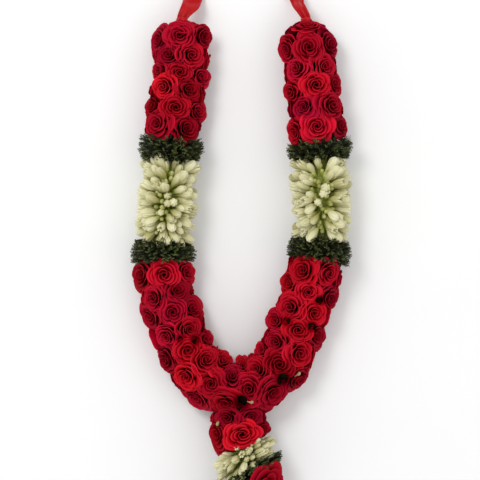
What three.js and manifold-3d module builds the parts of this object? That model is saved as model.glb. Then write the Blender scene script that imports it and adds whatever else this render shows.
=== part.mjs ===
// A rose and tuberose garland, laid flat on its back.
//
// Millimetres, +Z up. The garland lies in the XY plane: +Y runs to the neck
// ribbons, -Y to the pendant. A string carries everything: red roses, collars
// of clipped dark green foliage and bands of tuberose buds are packed round it,
// and a pendant hangs from the lowest point of the neck loop.

import * as THREE from "three";
import { mergeVertices } from "three/addons/utils/BufferGeometryUtils.js";
import Module from "manifold-3d";

const wasm = await Module();
wasm.setup();

// ---- Driving dimensions ----------------------------------------------------

const STRAND_HEIGHT = 37; // the string's height above the table
const GAP = 0.35; // clearance between neighbouring pieces
const STRING_RADIUS = 2.5;
const STRING_SIDES = 5;

const ROSE_RADIUS = 18.2;
const ROSE_RIM_AT = 33.5; // the petals' rim, measured from the string
const ROSE_VALLEY_AT = 26.5; // the bottom between roses
const ROSES_IN_RING = 5;
const END_DRAW = 0.35; // how far the corners of an end draw in, towards its ring

const BUD_LENGTH = 39;
const BUD_RADIUS = 6.4;
const BUD_ROOT = 3; // where a bud starts, measured from the string
const BUD_VALLEY_AT = 10.5; // the bottom between buds
const BUDS_IN_RING = 9;

const LEAF_RADIUS = 43; // the foliage's furthest tips
const LEAF_VALLEY = 32; // the bottoms between the tips
const LEAF_COLUMNS = 28;

const RIBBON_THICKNESS = 1;

// The neck loop's centreline, from the left end down and up to the right end.
const NECK_ROUTE = [
  [-77.5, 292],
  [-78, 253],
  [-83, 207],
  [-87.5, 167],
  [-92, 127],
  [-93, 87],
  [-97, 47],
  [-101.5, 7],
  [-102.5, -29],
  [-97.5, -67],
  [-88, -104],
  [-78, -132],
  [-64, -159],
  [-46, -181],
  [-24, -194],
  [-1, -198.5],
  [21, -193.5],
  [41, -178.5],
  [57.5, -156],
  [69, -130],
  [79.5, -103],
  [89, -76],
  [100, -43],
  [106.5, -7],
  [109, 33],
  [108, 73],
  [107, 113],
  [102.5, 153],
  [99.5, 187],
  [94.5, 220],
  [90.5, 253],
  [88.5, 292],
];

// The pendant's centreline, from the neck loop's lowest point to its tip. Its
// bell is thicker than the loop, so it rises from the table towards its tip.
const PENDANT_ROUTE = [
  [-1, -201.6, 0],
  [-1, -234, 0],
  [0, -256, 1],
  [4, -277, 3],
  [8, -297, 7],
  [11, -322, 11],
  [11, -350, 12],
  [11, -394, 10],
];

// The stretches of the neck loop, by distance along its centreline, and how many
// rings of roses or buds each one holds. The buds at the two ends of a stretch
// lean outwards, in radians: by its splay on top and below, and by its flank at
// the sides.
const LEFT_ROSES = { from: 6, to: 160, rings: 6, size: 1 };
const LEFT_BUDS = { from: 184, to: 298, rings: 7, splay: 0.8, flank: 0.4 };
const LOWER_ROSES = { from: 320, to: 752, rings: 16, size: 1 };
const RIGHT_BUDS = { from: 776, to: 887, rings: 7, splay: 0.8, flank: 0.4 };
const RIGHT_ROSES = { from: 906, to: 1053, rings: 5, size: 1.06 };
const ROSE_ENDS_AT = 30; // how thick a stretch of roses is where it ends
const CAP = { count: 3, rim: 20, size: 0.95, lean: 1.0, inset: 8 };

// The pendant's roses ring by ring: where they sit, how many there are, how far
// out their rims and the valleys between them are, and their lean to the tip.
const COLLAR = {
  from: 20,
  to: 72,
  rings: [
    { at: 34, rim: 33, valley: 26, size: 1, lean: 0, turn: 1 },
    { at: 54, rim: 36, valley: 27, size: 1.25, lean: 0, turn: 0 },
  ],
};
const LOOP_CLEARANCE = 45; // the collar's top is hollowed this far round the loop
const PENDANT_BUDS = { from: 72.6, to: 105.4, rings: 3, splay: 0.03, flank: 0.03 };
const PENDANT_LEAVES = [106, 117];
const BELL = {
  from: 117,
  to: 198,
  rings: [
    { at: 137, rim: 43, valley: 33, size: 1.15, lean: 0, turn: 1 },
    { at: 164, rim: 41, valley: 31, size: 1.1, lean: 0.45, turn: 0 },
    { at: 185, rim: 24, valley: 17, size: 0.8, lean: 1.05, turn: 1 },
  ],
};
const ROSES_IN_BELL = 6;

// How steeply the pendant's bands climb to the right, by distance down it. They
// climb more and more, so that the bands are wider on the left.
const PENDANT_TILT = [
  { at: 40, tilt: 0 },
  { at: 105, tilt: 0.42 },
  { at: 125, tilt: 0.42 },
  { at: 185, tilt: 0.1 },
];

// ---- Small helpers ---------------------------------------------------------

// A repeatable draw from -1 to 1 for the numbered thing and the numbered trait.
function draw(thing, trait) {
  const wave = Math.sin(thing * 12.9898 + trait * 78.233) * 43758.5453;
  return 2 * (wave - Math.floor(wave)) - 1;
}

function routeCurve(points) {
  const places = points.map(([x, y, z = 0]) => new THREE.Vector3(x, y, STRAND_HEIGHT + z));
  const curve = new THREE.CatmullRomCurve3(places, false, "catmullrom", 0.5);
  curve.arcLengthDivisions = 600;
  return curve;
}

const neck = routeCurve(NECK_ROUTE);
const pendant = routeCurve(PENDANT_ROUTE);

// The place and directions at a distance along a curve: ahead runs along the
// curve, side lies in the table's plane and up points away from the table.
function stationOn(curve, distance) {
  const share = THREE.MathUtils.clamp(distance / curve.getLength(), 0, 1);
  const beyond = distance - share * curve.getLength();
  const ahead = curve.getTangentAt(share);
  const side = new THREE.Vector3(ahead.y, -ahead.x, 0).normalize();
  const up = new THREE.Vector3().crossVectors(side, ahead);
  return { place: curve.getPointAt(share).addScaledVector(ahead, beyond), ahead, side, up };
}

// The outward direction at an angle round the strand; a quarter turn is up.
function outward(station, angle) {
  return station.side
    .clone()
    .multiplyScalar(Math.cos(angle))
    .addScaledVector(station.up, Math.sin(angle));
}

// A point round the strand.
function spot(curve, distance, angle, radius) {
  const station = stationOn(curve, distance);
  return station.place.clone().addScaledVector(outward(station, angle), radius);
}

function tiltAt(distance) {
  return PENDANT_TILT.slice(1).reduce((tilt, mark, i) => {
    const before = PENDANT_TILT[i];
    const share = THREE.MathUtils.smoothstep(distance, before.at, mark.at);
    return tilt + share * (mark.tilt - before.tilt);
  }, 0);
}

// Where a point of a piece comes to lie: the pendant's bands are sheared across
// it, and what would sink into the table is pressed flat on it.
function settled(curve, point) {
  let { y } = point;
  if (curve === pendant) {
    const distance = PENDANT_ROUTE[0][1] - point.y;
    y += tiltAt(distance) * (point.x - stationOn(pendant, distance).place.x);
  }
  return new THREE.Vector3(point.x, y, Math.max(point.z, 0));
}

// A closed solid from a list of triangles of Vector3 corners.
function solidFrom(triangles, curve = neck) {
  const laid = triangles.flat().map((point) => settled(curve, point));
  const corners = new Float32Array(laid.flatMap((p) => [p.x, p.y, p.z]));
  const loose = new THREE.BufferGeometry();
  loose.setAttribute("position", new THREE.BufferAttribute(corners, 3));
  const merged = mergeVertices(loose, 1e-4);
  return new wasm.Manifold(
    new wasm.Mesh({
      numProp: 3,
      vertProperties: merged.attributes.position.array,
      triVerts: new Uint32Array(merged.index.array),
    }),
  );
}

// Triangles between two rings of the same count. With the rings in turn along
// the strand and their points in order of angle, they face the string.
function band(ringA, ringB) {
  return ringA.flatMap((a, i) => {
    const next = (i + 1) % ringA.length;
    return [
      [a, ringA[next], ringB[i]],
      [ringA[next], ringB[next], ringB[i]],
    ];
  });
}

// Triangles from a ring to one point, closing an end.
function cone(ring, point) {
  return ring.map((a, i) => [a, ring[(i + 1) % ring.length], point]);
}

// Triangles between a ring and one inside it of another count, facing back.
function washer(outer, inner) {
  const triangles = [];
  let i = 0;
  let j = 0;
  while (i < outer.length || j < inner.length) {
    const nextOuter = outer[(i + 1) % outer.length];
    const nextInner = inner[(j + 1) % inner.length];
    const here = [outer[i % outer.length], inner[j % inner.length]];
    if ((i + 0.5) / outer.length < (j + 0.5) / inner.length) {
      triangles.push([here[0], nextOuter, here[1]]);
      i++;
    } else {
      triangles.push([here[0], nextInner, here[1]]);
      j++;
    }
  }
  return triangles;
}

const reversed = (triangles) => triangles.map(([a, b, c]) => [a, c, b]);

// ---- String ----------------------------------------------------------------

// The distances at which the string bends, which its holes in the pieces share.
const bendsOf = new Map([
  [neck, new Set([0, neck.getLength()])],
  [pendant, new Set([0, pendant.getLength()])],
]);

function tubeRings(curve, from, to, radius, sides = STRING_SIDES) {
  const between = [...bendsOf.get(curve)].filter((d) => d > from + 1 && d < to - 1);
  return [from, ...between.sort((a, b) => a - b), to].map((distance) =>
    Array.from({ length: sides }, (_, i) =>
      spot(curve, distance, Math.PI / 2 + (2 * Math.PI * i) / sides, radius),
    ),
  );
}

// A tube along a curve between two distances, such as the string itself.
function tubeSolid(curve, from, to, radius, sides) {
  const rings = tubeRings(curve, from, to, radius, sides);
  const triangles = cone(rings[0], spot(curve, from, 0, 0));
  for (let i = 1; i < rings.length; i++) triangles.push(...band(rings[i], rings[i - 1]));
  triangles.push(...reversed(cone(rings[rings.length - 1], spot(curve, to, 0, 0))));
  return solidFrom(triangles, curve);
}

// The hole for the string through a piece whose two ends are rings of points:
// the faces of both ends, and the bore that joins them.
function threaded(curve, from, to, firstRing, lastRing) {
  const rings = tubeRings(curve, from, to, STRING_RADIUS + GAP);
  const triangles = washer(firstRing, rings[0]);
  for (let i = 1; i < rings.length; i++) triangles.push(...band(rings[i - 1], rings[i]));
  triangles.push(...reversed(washer(lastRing, rings[rings.length - 1])));
  return triangles;
}

// ---- Flowers in rings ------------------------------------------------------

// Flowers stand round the strand in rings, each ring turned half a flower from
// the last, so every flower has six neighbours. The valleys between them meet
// in corners, and a flower fills the cell between its six corners.
function flowerRings(curve, rings, count, firstNumber, wander) {
  return rings.map((ring, k) =>
    Array.from({ length: count }, (_, i) => {
      const id = (firstNumber + k) * 10 + i;
      const step = 2 * i + ring.turn;
      const angle = Math.PI / 2 + (step * Math.PI) / count + wander.angle * draw(id, 1);
      const own = { ...ring, ...ring.facing?.(angle) };
      const at = own.at + wander.along * draw(id, 2);
      return { ...own, middle: ring.at, id, step, angle, at, curve };
    }),
  );
}

// The corners on the line between two rings, or along a stretch's end. There
// they lie on the end beside a flower, and draw in towards the ring between two.
function cornerLine(curve, before, after, count, end) {
  const ring = [...before, ...after];
  return Array.from({ length: 2 * count }, (_, step) => {
    const even = Math.PI / 2 + (step * Math.PI) / count;
    const beside = ring.find((flower) => flower.step % (2 * count) === step);
    if (end && beside) return spot(curve, end.at, even, end.radius);
    if (end) {
      const drawnIn = end.at + END_DRAW * (ring[0].middle - end.at);
      return spot(curve, drawnIn, even, Math.min(end.radius, ring[0].valley));
    }
    const near = ring.filter((flower) =>
      [0, 1, 2 * count - 1].includes((flower.step - step + 2 * count) % (2 * count)),
    );
    const mean = (value) => near.reduce((sum, flower) => sum + value(flower), 0) / near.length;
    const wander = (f) => f.angle - Math.PI / 2 - (f.step * Math.PI) / count;
    return spot(curve, mean((f) => f.at), even + mean(wander), mean((f) => f.valley));
  });
}

// One node of flowers: the cells of its rings, its two ends and its bore.
function flowersSolid(curve, allRings, count, [start, stop], ends, shape) {
  const lines = [];
  for (let k = start; k <= stop; k++) {
    const end = k === 0 ? ends[0] : k === allRings.length ? ends[1] : null;
    lines.push(cornerLine(curve, allRings[k - 1] ?? [], allRings[k] ?? [], count, end));
  }
  const middle = (k) => (allRings[k - 1][0].middle + allRings[k][0].middle) / 2;
  const from = (start === 0 ? ends[0].at : middle(start)) + GAP / 2;
  const to = (stop === allRings.length ? ends[1].at : middle(stop)) - GAP / 2;
  const inset = (line, distance, way) => {
    const { ahead } = stationOn(curve, distance);
    return line.map((p) => p.clone().addScaledVector(ahead, (way * GAP) / 2));
  };
  lines[0] = inset(lines[0], from, 1);
  lines[lines.length - 1] = inset(lines[lines.length - 1], to, -1);
  const triangles = threaded(curve, from, to, lines[0], lines[lines.length - 1]);
  for (let k = start; k < stop; k++) {
    const lower = lines[k - start];
    const upper = lines[k - start + 1];
    for (const flower of allRings[k]) {
      const [prev, here, next] = [-1, 0, 1].map(
        (d) => (flower.step + d + 2 * count) % (2 * count),
      );
      const corners = [lower[prev], upper[prev], upper[here], upper[next], lower[next], lower[here]];
      triangles.push(...shape(flower, corners));
    }
  }
  return solidFrom(triangles, curve);
}

// ---- Roses -----------------------------------------------------------------

// A rose has six outer petals whose tips and notches make the rim, then a groove
// and a standing cup of six inner petals, and three petals rolled round a pit.
// Reaches are shares of the way to the cell's edge, heights are shares of the
// rose's radius, measured from the rim.
const ROSE_SHAPE = {
  tip: { reach: 0.88, height: 0.06 },
  notch: { reach: 0.88, height: -0.2 },
  groove: { reach: 0.7, height: -0.1 },
  cup: { reach: 0.56, height: 0.24 },
  bud: { reach: 0.24, height: 0.2 },
  pit: 0.02,
};

function roseAxis(flower) {
  const station = stationOn(flower.curve, flower.at);
  const lean = flower.lean + 0.18 * draw(flower.id, 4);
  return outward(station, flower.angle)
    .multiplyScalar(Math.cos(lean))
    .addScaledVector(station.ahead, Math.sin(lean));
}

function roseShape(flower, corners) {
  const axis = roseAxis(flower);
  const radius = ROSE_RADIUS * flower.size;
  const heart = spot(flower.curve, flower.at, flower.angle, flower.rim + 1.5 * draw(flower.id, 3));
  const across = (point) => {
    const way = point.clone().sub(heart);
    return way.addScaledVector(axis, -way.dot(axis));
  };
  const at = (way, { reach, height }) =>
    heart.clone().addScaledVector(way, reach).addScaledVector(axis, height * radius);
  const toCorner = corners.map(across);
  const toSide = toCorner.map((way, i) =>
    way.clone().add(toCorner[(i + 1) % 6]).multiplyScalar(0.5),
  );
  const tips = toCorner.map((way) => at(way, ROSE_SHAPE.tip));
  const notches = toSide.map((way) => at(way, ROSE_SHAPE.notch));
  const grooves = toSide.map((way) => at(way, ROSE_SHAPE.groove));
  const cups = toCorner.map((_, i) => at(toCorner[(i + 1) % 6], ROSE_SHAPE.cup));
  const rolled = [1, 3, 5].map((i) => at(toSide[i], ROSE_SHAPE.bud));
  const triangles = [];
  corners.forEach((corner, i) => {
    const next = (i + 1) % 6;
    triangles.push(
      [corner, corners[next], notches[i]],
      [corner, notches[i], tips[i]],
      [notches[i], corners[next], tips[next]],
      [tips[i], notches[i], grooves[i]],
      [notches[i], tips[next], grooves[i]],
      [tips[next], grooves[next], grooves[i]],
    );
  });
  const pit = heart.clone().addScaledVector(axis, ROSE_SHAPE.pit * radius);
  if (axis.z < -0.85) pit.z = 0;
  triangles.push(...band(grooves, cups), ...cone(rolled, pit));
  rolled.forEach((petal, i) => {
    const next = (2 * i + 2) % 6;
    triangles.push(
      [cups[2 * i], cups[2 * i + 1], petal],
      [cups[2 * i + 1], cups[next], rolled[(i + 1) % 3]],
      [cups[2 * i + 1], rolled[(i + 1) % 3], petal],
    );
  });
  return triangles;
}

const ROSE_WANDER = { angle: 0.12, along: 2.6 };

// The even rings of a stretch, the first and last a rose's radius inside it.
function evenRings({ from, to, rings, size }) {
  const inset = ROSE_RADIUS * size;
  return Array.from({ length: rings }, (_, k) => ({
    at: from + inset + ((to - from - 2 * inset) * k) / (rings - 1),
    rim: ROSE_RIM_AT,
    valley: ROSE_VALLEY_AT,
    size,
    lean: 0,
    turn: k % 2,
  }));
}

// A single rose that isn't in a ring of cells: it narrows to a root instead.
function looseRose({ place, axis, ahead, turn, radius }, grow) {
  const reach = radius + 1.5 * grow;
  const root = place.clone().addScaledVector(axis, -radius - 2 * grow);
  const across = new THREE.Vector3().crossVectors(axis, ahead).normalize();
  const along = new THREE.Vector3().crossVectors(across, axis).normalize();
  const ring = (petals, share, height, offset) =>
    Array.from({ length: petals }, (_, i) => {
      const angle = turn + ((i + offset) * 2 * Math.PI) / petals;
      return place
        .clone()
        .addScaledVector(axis, height * radius + grow)
        .addScaledVector(along, reach * share * Math.cos(angle))
        .addScaledVector(across, -reach * share * Math.sin(angle));
    });
  const notches = ring(5, 0.86, -0.16, 0);
  const tips = ring(5, 1, 0.04, 0.5);
  const cups = ring(5, 0.54, 0.27, 1);
  const triangles = reversed(cone(notches, root));
  notches.forEach((notch, i) => {
    const next = (i + 1) % 5;
    triangles.push(
      [notch, notches[next], tips[i]],
      [notch, tips[i], cups[(i + 4) % 5]],
      [tips[i], cups[i], cups[(i + 4) % 5]],
      [tips[i], notches[next], cups[i]],
    );
  });
  const pit = place.clone().addScaledVector(axis, -0.02 * radius + grow);
  triangles.push(...cone(cups, pit));
  const solid = solidFrom(triangles);
  return solid.volume() > 0 ? solid : solidFrom(reversed(triangles));
}

// ---- Tuberose buds ---------------------------------------------------------

// A bud is a narrow tube that widens to a six-sided head and closes to a blunt
// tip of three lobes.
function budShape(flower, corners) {
  const station = stationOn(flower.curve, flower.at);
  const out = outward(station, flower.angle);
  const lean = flower.lean + BUD_WANDER.lean * draw(flower.id, 3);
  const axis = out
    .clone()
    .multiplyScalar(Math.cos(lean))
    .addScaledVector(station.ahead, Math.sin(lean));
  const root = spot(
    flower.curve,
    flower.at,
    flower.angle,
    BUD_ROOT + draw(flower.id, 5),
  ).addScaledVector(station.ahead, -rootDraw(lean));
  const across = new THREE.Vector3().crossVectors(axis, station.ahead).normalize();
  const along = new THREE.Vector3().crossVectors(across, axis).normalize();
  const ring = (count, height, radius, offset) =>
    Array.from({ length: count }, (_, i) => {
      const angle = ((i + offset) * 2 * Math.PI) / count;
      return root
        .clone()
        .addScaledVector(axis, height * BUD_LENGTH)
        .addScaledVector(along, radius * Math.cos(angle))
        .addScaledVector(across, radius * Math.sin(angle));
    });
  const head = ring(6, 0.68, BUD_RADIUS, 4);
  const lobes = ring(3, 1, 0.42 * BUD_RADIUS, 2.25);
  const triangles = band(corners, head);
  lobes.forEach((lobe, i) => {
    const next = (i + 1) % 3;
    triangles.push(
      [head[2 * i], head[2 * i + 1], lobe],
      [head[2 * i + 1], head[(2 * i + 2) % 6], lobes[next]],
      [head[2 * i + 1], lobes[next], lobe],
    );
  });
  triangles.push([lobes[0], lobes[1], lobes[2]]);
  return triangles;
}

const BUD_WANDER = { angle: 0.08, along: 0.5, lean: 0.05 };

// How far a leaning bud's root lies back from where the bud leaves the valleys.
function rootDraw(lean) {
  return (BUD_VALLEY_AT - BUD_ROOT) * Math.tan(lean);
}

// How far along the strand a leaning bud reaches from where it leaves them: to
// the side of its head or to its tip.
function budReach(lean) {
  const most = lean + BUD_WANDER.lean;
  const head = 0.68 * BUD_LENGTH * Math.sin(most) + BUD_RADIUS * Math.cos(most);
  const tip = BUD_LENGTH * Math.sin(most) + 0.42 * BUD_RADIUS * Math.cos(most);
  return Math.max(head, tip) - rootDraw(lean) + BUD_WANDER.along + 0.8;
}

// Buds stand straight out at the middle of their stretch and splay towards its
// two ends, so that it reads as a ball of buds.
function budRings({ from, to, rings, splay, flank }) {
  return Array.from({ length: rings }, (_, k) => {
    const share = (2 * k) / (rings - 1) - 1;
    const facing = (angle) => {
      const most = flank + (splay - flank) * Math.sin(angle) ** 2;
      const span = (to - from) / 2 - budReach(most);
      return { at: (from + to) / 2 + span * share, lean: most * share };
    };
    return { ...facing(Math.PI / 2), facing, valley: BUD_VALLEY_AT, turn: k % 2 };
  });
}

// ---- Foliage ---------------------------------------------------------------

// A collar of clipped foliage: one closed surface round the string whose points
// alternate between leaf tips and the valleys between them, so that each tip is
// a small pyramid. Each row has its place along the collar and its share of the
// full reach.
const LEAF_ROWS = [
  { along: 0, reach: 0.9 },
  { along: 0.25, reach: 0.98 },
  { along: 0.5, reach: 1 },
  { along: 0.75, reach: 0.98 },
  { along: 1, reach: 0.9 },
];

function foliageSolid(curve, [start, stop], seed, scale) {
  const from = start + GAP / 2;
  const to = stop - GAP / 2;
  const rings = LEAF_ROWS.map(({ along, reach }, row) =>
    Array.from({ length: LEAF_COLUMNS }, (_, column) => {
      const tip = (row + column) % 2 === 0;
      const uneven = 1.5 * draw(seed + row * LEAF_COLUMNS + column, 1);
      const radius = scale * reach * (tip ? LEAF_RADIUS : LEAF_VALLEY) + uneven;
      const angle = Math.PI / 2 + (2 * Math.PI * column) / LEAF_COLUMNS;
      return spot(curve, from + (to - from) * along, angle, radius);
    }),
  );
  const triangles = threaded(curve, from, to, rings[0], rings[rings.length - 1]);
  for (let row = 1; row < rings.length; row++) {
    const lower = rings[row - 1];
    const upper = rings[row];
    lower.forEach((point, column) => {
      const next = (column + 1) % LEAF_COLUMNS;
      const isTip = (row - 1 + column) % 2 === 0;
      triangles.push(
        ...(isTip
          ? [
              [point, upper[column], lower[next]],
              [upper[column], upper[next], lower[next]],
            ]
          : [
              [point, upper[column], upper[next]],
              [point, upper[next], lower[next]],
            ]),
      );
    });
  }
  return solidFrom(triangles, curve);
}

// ---- Ribbons ---------------------------------------------------------------

// A satin ribbon: pinched where it is tied to the string's end, it widens, drops
// past the end roses and lies along the table to a swallow-tailed end.
function ribbonSolid(end, route, widths) {
  const half = RIBBON_THICKNESS / 2;
  const points = route.map(
    ([across, forward, height]) => new THREE.Vector3(end.x + across, end.y + forward, height),
  );
  const sections = points.map((p, i) => {
    const before = points[Math.max(i - 1, 0)];
    const after = points[Math.min(i + 1, points.length - 1)];
    const ahead = after.clone().sub(before).normalize();
    const side = new THREE.Vector3(ahead.y, -ahead.x, 0).normalize();
    const up = new THREE.Vector3().crossVectors(side, ahead);
    const wide = widths[i] / 2;
    const notch = i === points.length - 1 ? 0.35 * widths[i] : 0;
    const corner = (sideways, upward, forward) =>
      p
        .clone()
        .addScaledVector(side, sideways)
        .addScaledVector(up, upward)
        .addScaledVector(ahead, forward);
    return [
      corner(-wide, -half, 0),
      corner(0, -half, -notch),
      corner(wide, -half, 0),
      corner(wide, half, 0),
      corner(0, half, -notch),
      corner(-wide, half, 0),
    ];
  });
  const face = ([a, b, c, d, e, f]) => [
    [a, b, e],
    [a, e, f],
    [b, c, d],
    [b, d, e],
  ];
  const triangles = face(sections[0]);
  for (let i = 1; i < sections.length; i++) triangles.push(...band(sections[i], sections[i - 1]));
  triangles.push(...reversed(face(sections[sections.length - 1])));
  const solid = solidFrom(triangles);
  return solid.volume() > 0 ? solid : solidFrom(reversed(triangles));
}

// ---- Assembly --------------------------------------------------------------

const looks = {
  string: { color: 0xd8cfae, roughness: 0.9 },
  rose: { color: 0xa3071b, roughness: 0.65 },
  bud: { color: 0xe4e2bd, roughness: 0.55 },
  foliage: { color: 0x1f3a22, roughness: 0.8 },
  ribbon: { color: 0xc8101f, roughness: 0.35 },
};
const materials = Object.fromEntries(
  Object.entries(looks).map(([name, look]) => [
    name,
    new THREE.MeshStandardMaterial({ ...look, metalness: 0 }),
  ]),
);

const garland = new THREE.Group();

function addPiece(name, material, solid) {
  const bodies = solid.decompose();
  const whole = bodies.reduce((best, body) => (body.volume() > best.volume() ? body : best));
  const { numVert, numProp, vertProperties, triVerts } = whole.getMesh();
  const corners = new Float32Array(numVert * 3);
  for (let i = 0; i < numVert; i++)
    corners.set(vertProperties.subarray(i * numProp, i * numProp + 3), i * 3);
  const geometry = new THREE.BufferGeometry();
  geometry.setAttribute("position", new THREE.BufferAttribute(corners, 3));
  geometry.setIndex(new THREE.BufferAttribute(triVerts, 1));
  const mesh = new THREE.Mesh(geometry, materials[material]);
  mesh.name = name;
  garland.add(mesh);
}

// Where the string bends: at the edges of every ring, and within the buds.
const halfway = (rings) => rings.slice(1).map((ring, k) => (ring.at + rings[k].at) / 2);
const quarters = ({ from, to }) => [1, 2, 3].map((i) => from + ((to - from) * i) / 4);
const stretches = [
  [neck, LEFT_ROSES, halfway(evenRings(LEFT_ROSES))],
  [neck, LEFT_BUDS, quarters(LEFT_BUDS)],
  [neck, LOWER_ROSES, halfway(evenRings(LOWER_ROSES))],
  [neck, RIGHT_BUDS, quarters(RIGHT_BUDS)],
  [neck, RIGHT_ROSES, halfway(evenRings(RIGHT_ROSES))],
  [pendant, COLLAR, halfway(COLLAR.rings)],
  [pendant, PENDANT_BUDS, []],
  [pendant, BELL, halfway(BELL.rings)],
];
for (const [curve, { from, to }, inner] of stretches)
  for (const bend of [from, ...inner, to]) bendsOf.get(curve).add(bend);

// Rings of flowers as nodes of so many rings each, with something done to each
// solid before it is added.
function addFlowers(names, material, curve, stretch, rings, flowers, sizes, shape, finish) {
  const { count, first, wander, endRadii } = flowers;
  const all = flowerRings(curve, rings, count, first, wander);
  const ends = [
    { at: stretch.from, radius: endRadii[0] },
    { at: stretch.to, radius: endRadii[1] },
  ];
  let start = 0;
  names.forEach((name, i) => {
    const stop = start + sizes[i];
    const solid = flowersSolid(curve, all, count, [start, stop], ends, shape);
    addPiece(name, material, finish ? finish(solid, name) : solid);
    start = stop;
  });
}

const inRoses = (first, ...endRadii) => ({
  count: ROSES_IN_RING,
  first,
  wander: ROSE_WANDER,
  endRadii,
});
const inBuds = (first) => ({
  count: BUDS_IN_RING,
  first,
  wander: BUD_WANDER,
  endRadii: [BUD_VALLEY_AT, BUD_VALLEY_AT],
});

// The loose roses that close an end of the neck loop, turned to the ribbon.
function capRoses(at, way, first) {
  return Array.from({ length: CAP.count }, (_, i) => {
    const angle = Math.PI / 2 + (2 * Math.PI * i) / CAP.count;
    const station = stationOn(neck, at);
    const out = outward(station, angle);
    return looseRose(
      {
        place: spot(neck, at, angle, CAP.rim),
        axis: out
          .clone()
          .multiplyScalar(Math.cos(CAP.lean))
          .addScaledVector(station.ahead, way * Math.sin(CAP.lean)),
        ahead: out,
        turn: Math.PI * draw(first + i, 5),
        radius: ROSE_RADIUS * CAP.size,
      },
      0,
    );
  });
}

const neckLength = neck.getLength();
const pendantLength = pendant.getLength();
const neckBore = tubeSolid(neck, -40, neckLength + 40, STRING_RADIUS + GAP);

function capped(solid, at, way, first) {
  let closed = solid;
  for (const rose of capRoses(at, way, first)) closed = closed.add(rose);
  return closed.subtract(neckBore);
}

addPiece("string_neck", "string", tubeSolid(neck, 0, neckLength, STRING_RADIUS));
addPiece("string_pendant", "string", tubeSolid(pendant, 0, pendantLength, STRING_RADIUS));

addFlowers(
  ["roses_left_top", "roses_left_middle", "roses_left_low"],
  "rose",
  neck,
  LEFT_ROSES,
  evenRings(LEFT_ROSES),
  inRoses(0, 22, ROSE_ENDS_AT),
  [2, 2, 2],
  roseShape,
  (solid, name) => (name === "roses_left_top" ? capped(solid, CAP.inset, -1, 1) : solid),
);
addFlowers(
  Array.from({ length: 8 }, (_, i) => `roses_lower_${i + 1}`),
  "rose",
  neck,
  LOWER_ROSES,
  evenRings(LOWER_ROSES),
  inRoses(20, ROSE_ENDS_AT, ROSE_ENDS_AT),
  Array(8).fill(2),
  roseShape,
  (solid, name) =>
    ["roses_lower_4", "roses_lower_5"].includes(name)
      ? solid.subtract(tubeSolid(pendant, -1, 60, STRING_RADIUS + GAP))
      : solid,
);
addFlowers(
  ["roses_right_low", "roses_right_middle", "roses_right_top"],
  "rose",
  neck,
  RIGHT_ROSES,
  evenRings(RIGHT_ROSES),
  inRoses(40, ROSE_ENDS_AT, 22),
  [2, 2, 1],
  roseShape,
  (solid, name) =>
    name === "roses_right_top" ? capped(solid, neckLength - CAP.inset, 1, 5) : solid,
);
addFlowers(
  ["roses_pendant_collar"],
  "rose",
  pendant,
  COLLAR,
  COLLAR.rings,
  inRoses(50, 26, ROSE_ENDS_AT),
  [2],
  roseShape,
  (solid) => solid.subtract(tubeSolid(neck, 430, 650, LOOP_CLEARANCE, 14)),
);
addFlowers(
  ["roses_pendant_bell", "roses_pendant_tip"],
  "rose",
  pendant,
  BELL,
  BELL.rings,
  { count: ROSES_IN_BELL, first: 60, wander: ROSE_WANDER, endRadii: [36, 8] },
  [1, 2],
  roseShape,
);

addFlowers(["tuberose_left"], "bud", neck, LEFT_BUDS, budRings(LEFT_BUDS), inBuds(100), [LEFT_BUDS.rings], budShape);
addFlowers(["tuberose_right"], "bud", neck, RIGHT_BUDS, budRings(RIGHT_BUDS), inBuds(120), [RIGHT_BUDS.rings], budShape);
addFlowers(
  ["tuberose_pendant"],
  "bud",
  pendant,
  PENDANT_BUDS,
  budRings(PENDANT_BUDS),
  inBuds(140),
  [PENDANT_BUDS.rings],
  budShape,
);

const collars = [
  ["greens_left_upper", neck, [LEFT_ROSES.to, LEFT_BUDS.from], 1],
  ["greens_left_lower", neck, [LEFT_BUDS.to, LOWER_ROSES.from], 1],
  ["greens_right_lower", neck, [LOWER_ROSES.to, RIGHT_BUDS.from], 1],
  ["greens_right_upper", neck, [RIGHT_BUDS.to, RIGHT_ROSES.from], 1],
  ["greens_pendant", pendant, PENDANT_LEAVES, 1.06],
];
collars.forEach(([name, curve, stretch, scale], i) =>
  addPiece(name, "foliage", foliageSolid(curve, stretch, 500 * (i + 1), scale)),
);

// Across, forward of the string's end, and height above the table.
addPiece(
  "ribbon_left",
  "ribbon",
  ribbonSolid(
    neck.getPointAt(0),
    [[0, 0.8, 37], [0.6, 5, 37.5], [7, 15.5, 36], [11.5, 23, 29], [14, 33, 15], [16.5, 43, 4.5], [20, 56, 0.6], [31, 95, 0.6], [45, 138, 0.6]],
    [8, 11, 18, 24, 25, 25, 25, 25, 25],
  ),
);
addPiece(
  "ribbon_right",
  "ribbon",
  ribbonSolid(
    neck.getPointAt(1),
    [[0, 0.8, 37], [-0.6, 5, 37.5], [-6.5, 15.5, 36], [-10.5, 23, 29], [-12.5, 33, 15], [-15, 43, 4.5], [-18, 56, 0.6], [-29, 95, 0.6], [-42, 138, 0.6]],
    [8, 10, 14, 17, 20, 24, 25, 25, 25],
  ),
);

// The origin is under the middle of the whole garland, on the table.
const box = new THREE.Box3().setFromObject(garland);
const centre = box.getCenter(new THREE.Vector3());
garland.children.forEach((mesh) => mesh.position.set(-centre.x, -centre.y, -box.min.z));

export default garland;
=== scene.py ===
"""A rose and tuberose garland laid flat on a pale table, seen from straight above.

Everything is placed by the same rule as the solids it dresses: a station is a
distance along the neck loop or the pendant, an angle round the strand and a
distance from the string. Lengths below are millimetres until a mesh is made.
"""

import math

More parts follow.
